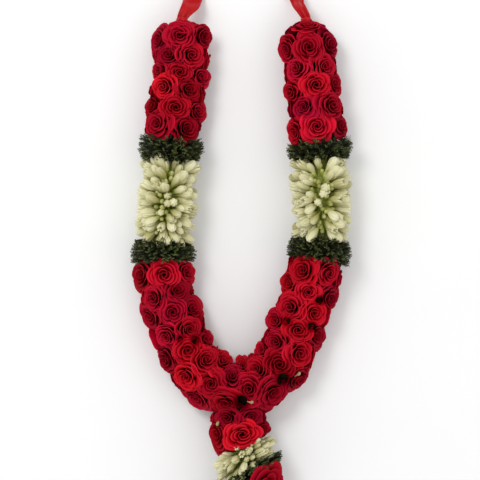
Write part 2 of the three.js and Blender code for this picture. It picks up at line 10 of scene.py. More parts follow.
import bpy
import numpy as np
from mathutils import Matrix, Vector


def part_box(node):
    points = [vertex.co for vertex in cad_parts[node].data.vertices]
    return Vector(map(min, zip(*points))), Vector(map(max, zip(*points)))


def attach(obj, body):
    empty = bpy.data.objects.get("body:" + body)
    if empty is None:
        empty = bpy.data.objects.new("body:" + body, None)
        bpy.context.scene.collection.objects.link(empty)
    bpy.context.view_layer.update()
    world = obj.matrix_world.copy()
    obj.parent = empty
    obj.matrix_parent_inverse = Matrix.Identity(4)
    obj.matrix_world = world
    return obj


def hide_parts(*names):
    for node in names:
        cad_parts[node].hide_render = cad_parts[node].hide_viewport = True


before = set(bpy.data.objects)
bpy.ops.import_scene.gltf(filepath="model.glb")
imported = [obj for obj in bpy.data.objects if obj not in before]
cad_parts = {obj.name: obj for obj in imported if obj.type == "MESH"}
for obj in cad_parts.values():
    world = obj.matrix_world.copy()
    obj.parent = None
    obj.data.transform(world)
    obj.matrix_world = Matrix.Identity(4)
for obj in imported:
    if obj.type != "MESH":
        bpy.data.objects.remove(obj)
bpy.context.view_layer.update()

# ---- The solids' measures ---------------------------------------------------

STRAND_HEIGHT = 37.0  # the string's height above the table
STRING_REACH = 2.38  # how far the five-sided string reaches from its middle

ROSE_RADIUS = 18.2
ROSE_RIM_AT = 33.5  # the petals' rim, measured from the string
ROSE_VALLEY_AT = 26.5  # the bottom between roses
ROSES_IN_RING = 5
ROSES_IN_BELL = 6
END_DRAW = 0.35  # how far the corners of an end draw in, towards its ring

BUD_LENGTH = 39.0
BUD_RADIUS = 6.4
BUD_HEAD_AT = 0.68  # where a bud is widest, as a share of its length
BUD_TIP = 0.42  # the radius of its tip, as a share of its head's
BUD_ROOT = 3.0  # where a bud starts, measured from the string
BUD_VALLEY_AT = 10.5  # the bottom between buds
BUD_MARGIN = 0.8  # what a stretch of buds leaves free at its ends
BUDS_IN_RING = 9

LEAF_RADIUS = 43.0  # the foliage's furthest tips

NECK_ROUTE = [
    (-77.5, 292), (-78, 253), (-83, 207), (-87.5, 167), (-92, 127), (-93, 87), (-97, 47),
    (-101.5, 7), (-102.5, -29), (-97.5, -67), (-88, -104), (-78, -132), (-64, -159),
    (-46, -181), (-24, -194), (-1, -198.5), (21, -193.5), (41, -178.5), (57.5, -156),
    (69, -130), (79.5, -103), (89, -76), (100, -43), (106.5, -7), (109, 33), (108, 73),
    (107, 113), (102.5, 153), (99.5, 187), (94.5, 220), (90.5, 253), (88.5, 292),
]
PENDANT_ROUTE = [
    (-1, -201.6, 0), (-1, -234, 0), (0, -256, 1), (4, -277, 3), (8, -297, 7),
    (11, -322, 11), (11, -350, 12), (11, -394, 10),
]

# The stretches of the neck loop and of the pendant, by distance along them. The
# buds at the two ends of a stretch lean outwards, in radians: by its splay on
# top and below, and by its flank at the sides.
LEFT_ROSES = dict(start=6, stop=160, rings=6, size=1)
LEFT_BUDS = dict(start=184, stop=298, rings=7, splay=0.8, flank=0.4)
LOWER_ROSES = dict(start=320, stop=752, rings=16, size=1)
RIGHT_BUDS = dict(start=776, stop=887, rings=7, splay=0.8, flank=0.4)
RIGHT_ROSES = dict(start=906, stop=1053, rings=5, size=1.06)
CAP = dict(count=3, rim=16.8, size=0.84, lean=1.12, inset=4.6)
COLLAR = dict(start=20, stop=72, rings=[
    dict(at=34, rim=33, valley=26, size=1, lean=0, turn=1),
    dict(at=54, rim=36, valley=27, size=1.25, lean=0, turn=0),
])
PENDANT_BUDS = dict(start=72.6, stop=105.4, rings=3, splay=0.03, flank=0.03)
PENDANT_LEAVES = (106, 117)
BELL = dict(start=117, stop=198, rings=[
    dict(at=137, rim=43, valley=33, size=1.15, lean=0, turn=1),
    dict(at=164, rim=41, valley=31, size=1.1, lean=0.45, turn=0),
    dict(at=185, rim=24, valley=17, size=0.8, lean=1.05, turn=1),
])

# How steeply the pendant's bands climb to the right, by distance down it.
PENDANT_TILT = [(40, 0), (105, 0.42), (125, 0.42), (185, 0.1)]

# ---- Places along the strand ------------------------------------------------

ROUTE_SAMPLES = 4001
PRESSED_BELOW = 2.0  # what comes lower than this is pressed against the table


def draw(thing, trait):
    """A repeatable number from -1 to 1 for the numbered thing and trait."""
    wave = np.sin(np.asarray(thing, float) * 12.9898 + np.asarray(trait) * 78.233) * 43758.5453
    return 2 * (wave - np.floor(wave)) - 1


def unit(vectors):
    """The same directions at length one."""
    return vectors / np.maximum(np.linalg.norm(vectors, axis=-1, keepdims=True), 1e-9)


def bell(x, most, middle, width):
    """A bell curve, most * exp(-((x - middle) / width) ** 2)."""
    return most * np.exp(-(((x - middle) / width) ** 2))


def even_angle(step, count):
    """The angle round the strand after so many half steps of a ring of flowers,
    which starts at the top."""
    return math.pi / 2 + step * math.pi / count


class Route:
    """A Catmull-Rom curve through points, walked by distance along it. A point
    may stand higher than the given height by a third number."""

    def __init__(self, points, height=STRAND_HEIGHT):
        self.points = np.array(
            [(p[0], p[1], height + (p[2] if len(p) > 2 else 0)) for p in points]
        )
        self.fine = self.at_share(np.linspace(0, 1, ROUTE_SAMPLES))
        steps = np.linalg.norm(np.diff(self.fine, axis=0), axis=1)
        self.walked = np.concatenate([[0], np.cumsum(steps)])
        self.length = self.walked[-1]

    def at_share(self, t):
        """The point at a share t of all spans: between points b and c, with a
        before and d after them, the cubic that leaves b along c - a and comes
        into c along d - b."""
        p = self.points
        p = np.vstack([2 * p[0] - p[1], p, 2 * p[-1] - p[-2]])
        n = len(p) - 3
        u = np.clip(t, 0, 1) * n
        i = np.minimum(u.astype(int), n - 1)
        w = (u - i)[:, None]
        a, b, c, d = p[i], p[i + 1], p[i + 2], p[i + 3]
        return (
            b + 0.5 * w * (c - a) + w**2 * (a - 2.5 * b + 2 * c - 0.5 * d)
            + w**3 * (1.5 * (b - c) + 0.5 * (d - a))
        )

    def sampled(self, distance):
        """The point at a distance that lies within the curve."""
        return np.stack([np.interp(distance, self.walked, self.fine[:, k]) for k in range(3)], -1)

    def place(self, distance):
        """The point at a distance, and straight on past either end."""
        d = np.atleast_1d(np.asarray(distance, float))
        inside = np.clip(d, 0, self.length)
        return self.sampled(inside) + self.ahead(d) * (d - inside)[..., None]

    def ahead(self, distance):
        """The way along the curve, over half a millimetre to both sides."""
        d = np.clip(np.atleast_1d(np.asarray(distance, float)), 0.5, self.length - 0.5)
        return unit(self.sampled(d + 0.5) - self.sampled(d - 0.5))

    def frame_at(self, distance):
        """Ahead, side in the table's plane, and up, at each distance."""
        ahead = self.ahead(distance)
        side = unit(np.stack([ahead[..., 1], -ahead[..., 0], 0 * ahead[..., 0]], -1))
        return ahead, side, np.cross(side, ahead)

    def ahead_and_out(self, distance, angle):
        """Ahead, and straight out of the strand at an angle round it."""
        ahead, side, up = self.frame_at(distance)
        angle = np.asarray(angle, float)[..., None]
        return ahead, side * np.cos(angle) + up * np.sin(angle)

    def spot(self, distance, angle, radius):
        """The point at an angle and radius round the strand."""
        _, out = self.ahead_and_out(distance, angle)
        return self.place(distance) + out * np.asarray(radius, float)[..., None]


neck = Route(NECK_ROUTE)
pendant = Route(PENDANT_ROUTE)

# The solids' origin is under the middle of the whole garland. The string's box
# says where that is, because its route is known here too.
string_low, string_high = (np.array(c) * 1000 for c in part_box("string_neck"))
ORIGIN = np.array([
    (neck.fine[:, 0].min() + neck.fine[:, 0].max()) / 2 - (string_low[0] + string_high[0]) / 2,
    neck.fine[:, 1].min() - STRING_REACH - string_low[1],
    0.0,
])


def placed(points):
    """Millimetres about the routes' origin as metres about the solids' one."""
    return (points - ORIGIN) / 1000


def tilt_at(distance):
    """How steeply the pendant's bands climb to the right, at a distance down it."""
    tilt = 0 * distance
    for (before, low), (mark, high) in zip(PENDANT_TILT, PENDANT_TILT[1:]):
        share = np.clip((distance - before) / (mark - before), 0, 1)
        tilt = tilt + share * share * (3 - 2 * share) * (high - low)
    return tilt


def settled(points, route):
    """Places flowers on the table. The pendant's bands are sheared by their tilt,
    and a height z below h = PRESSED_BELOW becomes h * exp((z - h) / h)."""
    p = np.array(points, float)
    if route is pendant:
        distance = PENDANT_ROUTE[0][1] - p[..., 1]
        axis_x = pendant.place(distance.ravel())[:, 0].reshape(distance.shape)
        p[..., 1] += tilt_at(distance) * (p[..., 0] - axis_x)
    under = np.minimum(p[..., 2] - PRESSED_BELOW, 0)
    pressed = PRESSED_BELOW * np.exp(under / PRESSED_BELOW)
    p[..., 2] = np.where(under < 0, pressed, p[..., 2])
    return placed(p)


# ---- Camera -----------------------------------------------------------------

PICTURE_SIDE = 480  # pixels
MM_PER_PIXEL = 4 / 3
FRAME_WIDTH = PICTURE_SIDE * MM_PER_PIXEL / 1000

camera_data = bpy.data.cameras.new("camera")
camera_data.sensor_width = 36
camera_data.lens = 120
camera_data.clip_end = 20
camera = bpy.data.objects.new("camera", camera_data)
above = FRAME_WIDTH * camera_data.lens / camera_data.sensor_width
camera.location = (-ORIGIN[0] / 1000, -ORIGIN[1] / 1000, STRAND_HEIGHT / 1000 + above)
bpy.context.scene.collection.objects.link(camera)
bpy.context.scene.camera = camera

# ---- Materials --------------------------------------------------------------


class Nodes:
    """A material's node tree, built by short calls."""

    def __init__(self, name):
        self.material = bpy.data.materials.new(name)
        self.material.use_nodes = True
        self.tree = self.material.node_tree
        self.bsdf = self.tree.nodes["Principled BSDF"]

    def add(self, kind, **values):
        """A node with values for its inputs and settings, by name."""
        node = self.tree.nodes.new(kind)
        for key, value in values.items():
            if key in node.inputs:
                self.feed(node.inputs[key], value)
            else:
                setattr(node, key, value)
        return node

    def feed(self, socket, value):
        """Links a socket to another one, or sets its own value."""
        if isinstance(value, bpy.types.NodeSocket):
            self.tree.links.new(value, socket)
        else:
            socket.default_value = value

    def set(self, **values):
        """Feeds the shader's own sockets, with _ for each space in their names."""
        for key, value in values.items():
            self.feed(self.bsdf.inputs[key.replace("_", " ")], value)

    def value(self, attribute):
        """What the mesh says by that name at each point."""
        return self.add("ShaderNodeAttribute", attribute_name=attribute).outputs["Fac"]

    def math(self, operation, a, b=0.0, c=0.0, clamp=False):
        node = self.tree.nodes.new("ShaderNodeMath")
        node.operation, node.use_clamp = operation, clamp
        for socket, value in zip(node.inputs, (a, b, c)):
            self.feed(socket, value)
        return node.outputs[0]

    def times(self, a, b):
        return self.math("MULTIPLY", a, b)

    def blend(self, share, a, b):
        """The colour a, turned to b by a share from 0 to 1."""
        node = self.tree.nodes.new("ShaderNodeMix")
        node.data_type = "RGBA"
        self.feed(node.inputs["Factor"], share)
        self.feed(node.inputs[6], a)
        self.feed(node.inputs[7], b)
        return node.outputs[2]

    def noise(self, scale, detail=3.0, stretch=(1, 1, 1)):
        where = self.tree.nodes.new("ShaderNodeTexCoord").outputs["Object"]
        mapping = self.tree.nodes.new("ShaderNodeMapping")
        mapping.inputs["Scale"].default_value = stretch
        self.tree.links.new(where, mapping.inputs["Vector"])
        return self.add(
            "ShaderNodeTexNoise", Vector=mapping.outputs[0], Scale=scale, Detail=detail
        ).outputs["Fac"]

    def bump(self, height, strength, depth):
        node = self.add("ShaderNodeBump", Height=height, Strength=strength, Distance=depth)
        self.tree.links.new(node.outputs[0], self.bsdf.inputs["Normal"])


def rgb(red, green, blue):
    """A colour given as it looks on a screen, 0 to 255, made linear."""
    return tuple((c / 255) ** 2.2 for c in (red, green, blue)) + (1.0,)


def petal_material():
    """Red petals: brighter by tone, crimson by cool, with fine veins. Darker towards
    the base, near the dark gaps and in the rose's heart: painted shade. Paler
    along the rim: a painted highlight."""
    m = Nodes("rose_petal")
    tone, cool, along, inner, shade = (
        m.value(a) for a in ("tone", "cool", "along", "inner", "shade")
    )
    scarlet = m.blend(tone, rgb(144, 2, 24), rgb(246, 14, 30))
    crimson = m.blend(tone, rgb(136, 2, 48), rgb(230, 16, 80))
    bright = m.blend(cool, scarlet, crimson)
    mottled = m.blend(m.times(m.noise(180), 0.45), bright, rgb(126, 0, 22))
    aged = m.blend(m.times(shade, 0.4), mottled, rgb(136, 0, 38))
    # Darker where along is low, towards each petal's base and near the dark gaps, and in the rose's
    # heart by inner: painted shade.
    base_shade = m.math("SUBTRACT", 0.92, along, clamp=True)
    base_shaded = m.blend(m.math("MULTIPLY", base_shade, 1.2, clamp=True), aged, rgb(98, 0, 14))
    heart = m.blend(m.times(inner, 0.55), base_shaded, rgb(96, 0, 14))
    # A paler rim, more so on brighter roses: a painted highlight.
    rim = m.math("POWER", along, 11.0)
    rim_highlight = m.times(rim, m.math("MULTIPLY_ADD", tone, 0.42, 0.26))
    rim_highlighted = m.blend(rim_highlight, heart, rgb(230, 48, 64))
    veins = m.noise(900, 2.0, (1, 1, 0.35))
    m.set(Base_Color=rim_highlighted, Roughness=0.6, Specular_IOR_Level=0.02)
    m.bump(veins, 0.3, 0.0006)
    return m.material


# The calyx mass under the roses, coloured near-black brown: painted shade in the gaps between
# roses.
def shaded_calyx_material():
    m = Nodes("shaded_calyx")
    mixed = m.blend(m.noise(320), rgb(14, 6, 4), rgb(40, 26, 12))
    m.set(Base_Color=mixed, Roughness=0.8, Specular_IOR_Level=0.05)
    m.bump(m.noise(700), 0.5, 0.001)
    return m.material


def tip_material():
    m = Nodes("calyx_tip")
    m.set(Base_Color=m.blend(m.noise(500), rgb(134, 112, 66), rgb(196, 174, 126)), Roughness=0.7)
    return m.material


def bud_material():
    """Ivory buds that turn green down to the stalk, with a paler tip."""
    m = Nodes("tuberose_petal")
    along, tone = m.value("along"), m.value("tone")
    ivory = m.blend(tone, rgb(168, 162, 102), rgb(234, 230, 188))
    green = m.blend(tone, rgb(128, 138, 42), rgb(174, 180, 78))
    share = m.add("ShaderNodeMapRange", interpolation_type="SMOOTHSTEP", Value=along)
    share.inputs["From Min"].default_value = 0.26
    share.inputs["From Max"].default_value = 0.72
    body = m.blend(share.outputs[0], green, ivory)
    tip = m.math("POWER", along, 14.0)
    tipped = m.blend(m.times(tip, 0.55), body, rgb(250, 246, 212))
    streak = m.noise(420, 2.0)
    mottled = m.blend(m.times(streak, 0.3), tipped, rgb(188, 184, 120))
    m.set(Base_Color=mottled, Roughness=0.45, Specular_IOR_Level=0.4)
    m.bump(m.noise(700, 2.0), 0.2, 0.0005)
    return m.material


def stalk_material():
    m = Nodes("tuberose_stalk")
    mixed = m.blend(m.noise(260), rgb(98, 110, 34), rgb(156, 162, 66))
    m.set(Base_Color=mixed, Roughness=0.6)
    m.bump(m.noise(600), 0.4, 0.001)
    return m.material


def leaf_material():
    m = Nodes("foliage")
    tone = m.value("tone")
    # Tone runs from near black at a sprig's foot, deep in the foliage, to paler at its tip: painted
    # shade, with a draw for each sprig's own tone. Where no tone is given, as on the foliage's
    # core, it stays near black.
    mixed = m.blend(tone, rgb(8, 15, 5), rgb(122, 132, 74))
    mottled = m.blend(m.times(m.noise(400), 0.6), mixed, rgb(22, 30, 10))
    m.set(Base_Color=mottled, Roughness=0.65, Specular_IOR_Level=0.18)
    return m.material


def satin_material():
    m = Nodes("satin")
    weave = m.noise(1400, 2.0, (1, 0.06, 1))
    mixed = m.blend(m.times(weave, 0.35), rgb(182, 2, 20), rgb(140, 0, 12))
    m.set(Base_Color=mixed, Roughness=0.42, Anisotropic=0.6, Specular_IOR_Level=0.22)
    m.bump(weave, 0.12, 0.0003)
    return m.material


def cotton_material():
    m = Nodes("cotton")
    twist = m.noise(1200, 2.0, (1, 1, 0.3))
    m.set(Base_Color=m.blend(twist, rgb(206, 196, 164), rgb(232, 226, 204)), Roughness=0.9)
    m.bump(twist, 0.6, 0.0005)
    return m.material


def floor_material():
    m = Nodes("table")
    white = m.blend(m.noise(6), rgb(246, 246, 246), rgb(250, 250, 250))
    m.set(Base_Color=white, Roughness=0.85, Specular_IOR_Level=0.1)
    return m.material


# ---- Meshes -----------------------------------------------------------------


def piece(name, node, parts, smooth=True):
    """One object that dresses a node, from parts: each has points, lists of quads
    or triangles as index arrays, a material, and values for its points by name."""
    points = np.concatenate([p["points"] for p in parts])
    materials = []
    loops, counts, skins = [], [], []
    first_point = 0
    for p in parts:
        if p["material"] not in materials:
            materials.append(p["material"])
        for faces in p["faces"]:
            loops.append((faces + first_point).ravel())
            counts.append(np.full(len(faces), faces.shape[1]))
            skins.append(np.full(len(faces), materials.index(p["material"])))
        first_point += len(p["points"])
    loops, counts, skins = (np.concatenate(a).astype(np.int32) for a in (loops, counts, skins))
    mesh = bpy.data.meshes.new(name)
    mesh.vertices.add(len(points))
    mesh.vertices.foreach_set("co", points.astype(np.float32).ravel())
    mesh.loops.add(len(loops))
    mesh.loops.foreach_set("vertex_index", loops)
    mesh.polygons.add(len(counts))
    mesh.polygons.foreach_set("loop_start", np.cumsum(counts, dtype=np.int32) - counts)
    mesh.polygons.foreach_set("loop_total", counts)
    mesh.polygons.foreach_set("material_index", skins)
    for material in materials:
        mesh.materials.append(material)
    for key in sorted({k for p in parts for k in p.get("values", {})}):
        values = [p.get("values", {}).get(key, np.zeros(len(p["points"]))) for p in parts]
        attribute = mesh.attributes.new(key, "FLOAT", "POINT")
        attribute.data.foreach_set("value", np.concatenate(values).astype(np.float32))
    mesh.update(calc_edges=True)
    if smooth:
        mesh.shade_smooth()
    else:
        mesh.shade_flat()
    made = bpy.data.objects.new(name, mesh)
    bpy.context.scene.collection.objects.link(made)
    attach(made, "root")
    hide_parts(node)
    return made


def tiled(faces, copies, size):
    """The same faces for each of many copies of one shape of so many points."""
    return (faces[None] + (np.arange(copies) * size)[:, None, None]).reshape(-1, faces.shape[1])


def shell_faces(rows, columns):
    """The quads of a closed thin shell: a front grid, a back grid and a rim."""
    grid = np.arange(rows * columns).reshape(rows, columns)
    behind = rows * columns
    back = grid + behind
    front_quads = np.stack([grid[:-1, :-1], grid[1:, :-1], grid[1:, 1:], grid[:-1, 1:]], -1)
    back_quads = np.stack([back[:-1, :-1], back[:-1, 1:], back[1:, 1:], back[1:, :-1]], -1)
    rim = np.concatenate([grid[0], grid[1:, -1], grid[-1, -2::-1], grid[-2:0:-1, 0]])
    after = np.roll(rim, -1)
    rim_quads = np.stack([rim, after, after + behind, rim + behind], -1)
    return np.concatenate([front_quads.reshape(-1, 4), back_quads.reshape(-1, 4), rim_quads])


def tube_faces(rings, sides):
    """The quads of a tube of rings, and the fans that close its two ends. The
    middles of the ends are the two points after the rings'."""
    grid = np.arange(rings * sides).reshape(rings, sides)
    after = np.roll(grid, -1, axis=1)
    quads = np.stack([grid[:-1], after[:-1], after[1:], grid[1:]], -1).reshape(-1, 4)
    first, last = rings * sides, rings * sides + 1
    ends = np.concatenate([
        np.stack([after[0], grid[0], np.full(sides, first)], -1),
        np.stack([grid[-1], after[-1], np.full(sides, last)], -1),
    ])
    return quads, ends


def turned_over(faces):
    """The same faces seen from their other side."""
    return [f[:, ::-1] for f in faces]


CORE_STEP = 6  # the length of a core's rings
STALK_RIPPLE = 1.3


def core(route, start, stop, radius, material, uneven=1.2, sides=24, ends=1.0, seed=0, stalks=0):
    """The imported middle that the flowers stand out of: a closed tube, uneven by
    draws. The radius of its ends is the given share of its own. As a bundle of
    so many stalks it also ripples as |sin(stalks * angle / 2)|, with a twist."""
    rings = max(3, int(round((stop - start) / CORE_STEP)) + 1)
    s = np.linspace(start, stop, rings)[:, None]
    angle = np.linspace(0, 2 * math.pi, sides, endpoint=False)[None]
    rough = uneven * draw(np.arange(rings * sides).reshape(rings, sides) + seed, 3)
    if stalks:
        rough = rough + STALK_RIPPLE * np.abs(np.sin(stalks * angle / 2 + s / 40))
    taper = np.ones((rings, 1))
    taper[[0, -1]] = ends
    grid = (a.ravel() for a in np.broadcast_arrays(s, angle, radius * taper + rough))
    points = np.concatenate([route.spot(*grid), route.place([start, stop])])
    return dict(points=settled(points, route), faces=turned_over(tube_faces(rings, sides)),
                material=material)


# ---- Where the roses are ----------------------------------------------------

# How far a rose strays from its even place: round the strand in radians, along
# it and out of it, and how far its axis leans, in radians.
ROSE_WANDER = dict(round=0.12, along=2.6, out=1.5, lean=0.18)

# Roses along the strand's sides turn up to the light, and the ones just under
# them stand out to fill between them, each by a bell curve of how far up the
# rose's axis points: its most, its middle and its width.
SIDE_LIFT = (0.4, 0.2, 0.3)
UNDER_PUSH = (2.6, -0.35, 0.3)

# The roses that are larger or smaller than the rest, by number.
GROWN_ROSES = {
    510: 1.26, 514: 0.95, 600: 1.22, 264: 1.12, 254: 1.12, 274: 1.1, 281: 1.25, 261: 1.15,
    304: 1.14, 244: 1.12,
}


def even_rings(stretch):
    """Rings of roses that fill a stretch evenly, every second one turned by half
    a rose."""
    inset = ROSE_RADIUS * stretch["size"]
    count = stretch["rings"]
    span = stretch["stop"] - stretch["start"] - 2 * inset
    return [
        dict(at=stretch["start"] + inset + span * k / (count - 1), rim=ROSE_RIM_AT,
             valley=ROSE_VALLEY_AT, size=stretch["size"], lean=0, turn=k % 2)
        for k in range(count)
    ]


def flower(ring, count, number, i):
    """A ring's flower number i, a little off its even place by draws that its own
    number fixes."""
    step = 2 * i + ring["turn"]
    return dict(
        ring, number=number, step=step, middle=ring["at"],
        angle=even_angle(step, count) + ROSE_WANDER["round"] * draw(number, 1),
        at=ring["at"] + ROSE_WANDER["along"] * draw(number, 2),
    )


def flower_rings(rings, count, first):
    """The flowers of all rings, numbered by ring and place in it."""
    return [
        [flower(ring, count, (first + k) * 10 + i, i) for i in range(count)]
        for k, ring in enumerate(rings)
    ]


def corner_line(route, before, after, count, end):
    """The corners between two rings of flowers, or along a stretch's end, which is
    its distance and radius. An end draws in where none of its flowers stands."""
    ring = before + after
    line = []
    for step in range(2 * count):
        even = even_angle(step, count)
        if end:
            at, radius = end
            if all(f["step"] % (2 * count) != step for f in ring):
                at += END_DRAW * (ring[0]["middle"] - at)
                radius = min(radius, ring[0]["valley"])
            spot = (at, even, radius)
        else:
            near = [f for f in ring if (f["step"] - step) % (2 * count) in (0, 1, 2 * count - 1)]
            off = [f["angle"] - even_angle(f["step"], count) for f in near]
            spot = (np.mean([f["at"] for f in near]), even + np.mean(off),
                    np.mean([f["valley"] for f in near]))
        line.append(route.spot(*spot)[0])
    return line


def rose_cell(route, f, corners):
    """A rose's heart, its axes, and how far it may reach along and across: about
    to the corners between it and its neighbours."""
    ahead, out = (a[0] for a in route.ahead_and_out(f["at"], f["angle"]))
    lean = f["lean"] + ROSE_WANDER["lean"] * draw(f["number"], 4)
    axis = out * math.cos(lean) + ahead * math.sin(lean)
    rim_at = f["rim"] + bell(axis[2], *UNDER_PUSH) + ROSE_WANDER["out"] * draw(f["number"], 3)
    axis[2] += bell(axis[2], *SIDE_LIFT)
    axis = unit(axis)
    heart = route.place(f["at"])[0] + out * rim_at
    across = unit(np.cross(axis, ahead))
    along = np.cross(across, axis)
    reach_along, reach_across = (np.abs((corners - heart) @ way) for way in (along, across))
    return dict(
        heart=heart, axis=axis, along=along, across=across, number=f["number"],
        radius=ROSE_RADIUS * f["size"], route=route, grown=GROWN_ROSES.get(f["number"], 1),
        reach=(0.5 * (reach_along.mean() + reach_along.max()), 1.02 * reach_across.max()),
    )


def rose_cells(route, rings, count, ends):
    """The cell of each rose of each ring."""
    borders = [ends[0], *[None] * (len(rings) - 1), ends[1]]
    lines = [
        corner_line(route, before, after, count, end)
        for before, after, end in zip([[], *rings], [*rings, []], borders)
    ]

    def corners(k, step):
        around = [(step + d) % (2 * count) for d in (-1, 0, 1)]
        return np.array([line[s] for line in lines[k:k + 2] for s in around])

    return [
        [rose_cell(route, f, corners(k, f["step"])) for f in ring] for k, ring in enumerate(rings)
    ]


def cap_cells(at, way, first):
    """The loose roses that close an end of the neck loop, turned to the ribbon."""
    radius = ROSE_RADIUS * CAP["size"]
    cells = []
    for i in range(CAP["count"]):
        angle = even_angle(2 * i, CAP["count"])
        ahead, out = (a[0] for a in neck.ahead_and_out(at, angle))
        axis = out * math.cos(CAP["lean"]) + way * ahead * math.sin(CAP["lean"])
        across = unit(np.cross(axis, out))
        cells.append(dict(
            heart=neck.place(at)[0] + out * CAP["rim"], axis=axis, along=np.cross(across, axis),
            across=across, number=first + i, radius=radius, route=neck, reach=(radius, radius),
            grown=1,
        ))
    return cells


def tip_cell():
    """The rose that closes the pendant's tip."""
    at = BELL["stop"] - 2
    ahead, _, up = (a[0] for a in pendant.frame_at(at))
    return dict(heart=pendant.place(at)[0], axis=ahead, along=up, across=np.cross(ahead, up),
                number=990, radius=13, route=pendant, reach=(13, 13), grown=1)


# ---- Roses ------------------------------------------------------------------

# Each whorl of a rose, from the outside in: petals, rim radius, rim height, base
# radius, base height, half width in radians, how far the rim rolls back, and how
# much further out one edge of a petal stands than the other. Lengths are shares
# of the rose's radius and heights are measured from its rim plane.
WHORLS = [
    (5, 1.00, -0.16, 0.34, -0.95, 0.94, 0.26, 0.05),
    (5, 0.81, 0.04, 0.28, -0.80, 0.90, 0.22, 0.07),
    (4, 0.59, 0.16, 0.24, -0.60, 1.02, 0.16, 0.08),
    (3, 0.38, 0.22, 0.18, -0.45, 1.28, 0.09, 0.09),
    (3, 0.20, 0.20, 0.10, -0.35, 1.35, 0.03, 0.07),
]
WHORL_TURN = 2.4  # how far each whorl is turned against the last, in radians

# By how much draws change a whole rose, its opening and its heart's depth, and
# each petal: its azimuth in radians, its rim height, and shares of the others.
ROSE_OPENING = 0.14
HEART_SINK = 0.34
PETAL_WANDER = dict(azimuth=0.14, half=0.08, rim=0.04, height=0.05, roll=0.5)

PETAL_ROWS = np.array([0.0, 0.34, 0.58, 0.75, 0.86, 0.94, 1.0])
PETAL_COLUMNS = np.linspace(-1, 1, 9)
PETAL_THICKNESS = 0.5
ROLL_FROM = 0.62  # where along a petal its rim starts to roll back
GROWN_RISE = 12  # how much further out a rose of twice the size would stand

# The dark gaps between roses: across and up from the middle of the picture, and
# # how wide each one opens. The petals round it part and fall in by up to so many
# # times that, and are darkened there with painted shade.
DARK_GAPS = [
    (1.5, -214, 7.5), (57, -183.5, 7), (61.9, -107.3, 4.5), (104.5, -79.5, 4.5), (94.3, -114.1, 5),
    (-58.6, -132, 4.5), (-78.9, -129.9, 3.6),
]
GAP_PART = 0.6
GAP_DEPTH = 2.8

# The brightest roses, as across and up from the middle of the picture: partly a
# # brighter red of their own, partly a painted highlight.
BRIGHT_ROSES = [
    (-67, 247), (-95, 195), (121, 233), (107, 207), (97, 185), (104, 159), (-49, -143),
    (89, -64), (56, -127), (5, -256), (-91, -35), (30, -162), (-115, 110), (-66, -175),
]
GLOW_REACH = 13  # how near to such a place a rose is to be one of them

# How bright the other roses are, and how much brighter the brightest are.
LOOP_TONES = (0.31, 0.8)
PENDANT_TONES = (0.07, 0.5)


def rose_brightness_and_highlight(cell):
    """How much a rose is one of the brightest, from 0 to 1: partly a brighter
    red of its own, partly a painted highlight that grows as the rose faces up.
    """
    near = min(math.hypot(cell["heart"][0] - x, cell["heart"][1] - y) for x, y in BRIGHT_ROSES)
    return bell(near, 1, 0, GLOW_REACH) * max(cell["axis"][2], 0)


def rose_tone(cell):
    """How bright a rose is, from 0 for the deepest to 1 for the brightest, the
    brightest ones' painted highlight included.
    """
    even, most = PENDANT_TONES if cell["route"] is pendant else LOOP_TONES
    return np.clip(even + 0.35 * draw(cell["number"], 12) + most * rose_brightness_and_highlight(cell), 0, 1)


def rose_cool(cell):
    """How far a rose's red leans to crimson, more so at the upper right."""
    upper_right = cell["heart"][0] > 0 and cell["heart"][1] > 150
    cool = np.clip(0.26 + 0.45 * draw(cell["number"], 17) + 0.3 * upper_right, 0, 1)
    return cool * (1 - 0.85 * rose_brightness_and_highlight(cell))


def petal_reach(cell):
    """How far a rose's petals stretch along and across, a little past its cell,
    and the measure of their heights."""
    along, across = cell["reach"]
    return (
        np.clip(1.06 * along, 6, 24) * cell["grown"],
        np.clip(1.03 * across, 10, 24) * cell["grown"],
        cell["radius"],
    )


def petal_table(cells):
    """A row for each petal of the given roses: the azimuth of its middle, its half
    width, its whorl's other measures with draws of its own, two draws for its
    wave and lift, how far in its whorl is from 0 to 1, and its number. A rose's
    own draws turn it, open all whorls but its heart, and lower that heart."""
    rows = []
    wander = PETAL_WANDER
    for c in cells:
        number = c["number"]
        openness = 1 + ROSE_OPENING * draw(number, 11)
        cupped = 0.5 + 0.5 * draw(number, 13)
        turn = math.pi * draw(number, 5)
        for w, (count, rim, height, base, depth, half, roll, spiral) in enumerate(WHORLS):
            inner = w / (len(WHORLS) - 1)
            opened = openness if inner < 1 else 1
            for i in range(count):
                mark = number * 40 + w * 7 + i
                d = draw(mark, np.arange(20, 27))
                rows.append([
                    turn + WHORL_TURN * w + 2 * math.pi * i / count + wander["azimuth"] * d[0],
                    half * (1 + wander["half"] * d[1]),
                    rim * (1 + wander["rim"] * d[2]) * opened,
                    height + wander["height"] * d[3] - 0.1 * (opened - 1)
                    - HEART_SINK * cupped * inner**1.5,
                    base, depth, roll * (1 + wander["roll"] * d[4]), spiral, d[5], d[6],
                    inner, mark,
                ])
    return np.array(rows)


def fallen(points):
    """Opens the dark gaps: petal points on the upper side move away from a gap's
    middle and down, both by a bell curve of their distance from it. Gives the
    points, and how near a gap each one was, from 0 to 1, which the petals'
    painted shade near the gaps follows."""
    points, nearest = points.copy(), np.zeros(len(points))
    for x, y, radius in DARK_GAPS:
        off = points[:, :2] - (x, y)
        distance = np.linalg.norm(off, axis=1)
        near = bell(distance, 1, 0, radius) * (points[:, 2] > STRAND_HEIGHT)
        away = off / np.maximum(distance, 0.1)[:, None]
        points[:, :2] += away * (GAP_PART * radius * near)[:, None]
        points[:, 2] -= GAP_DEPTH * radius * near
        nearest = np.maximum(nearest, near)
    return points, nearest


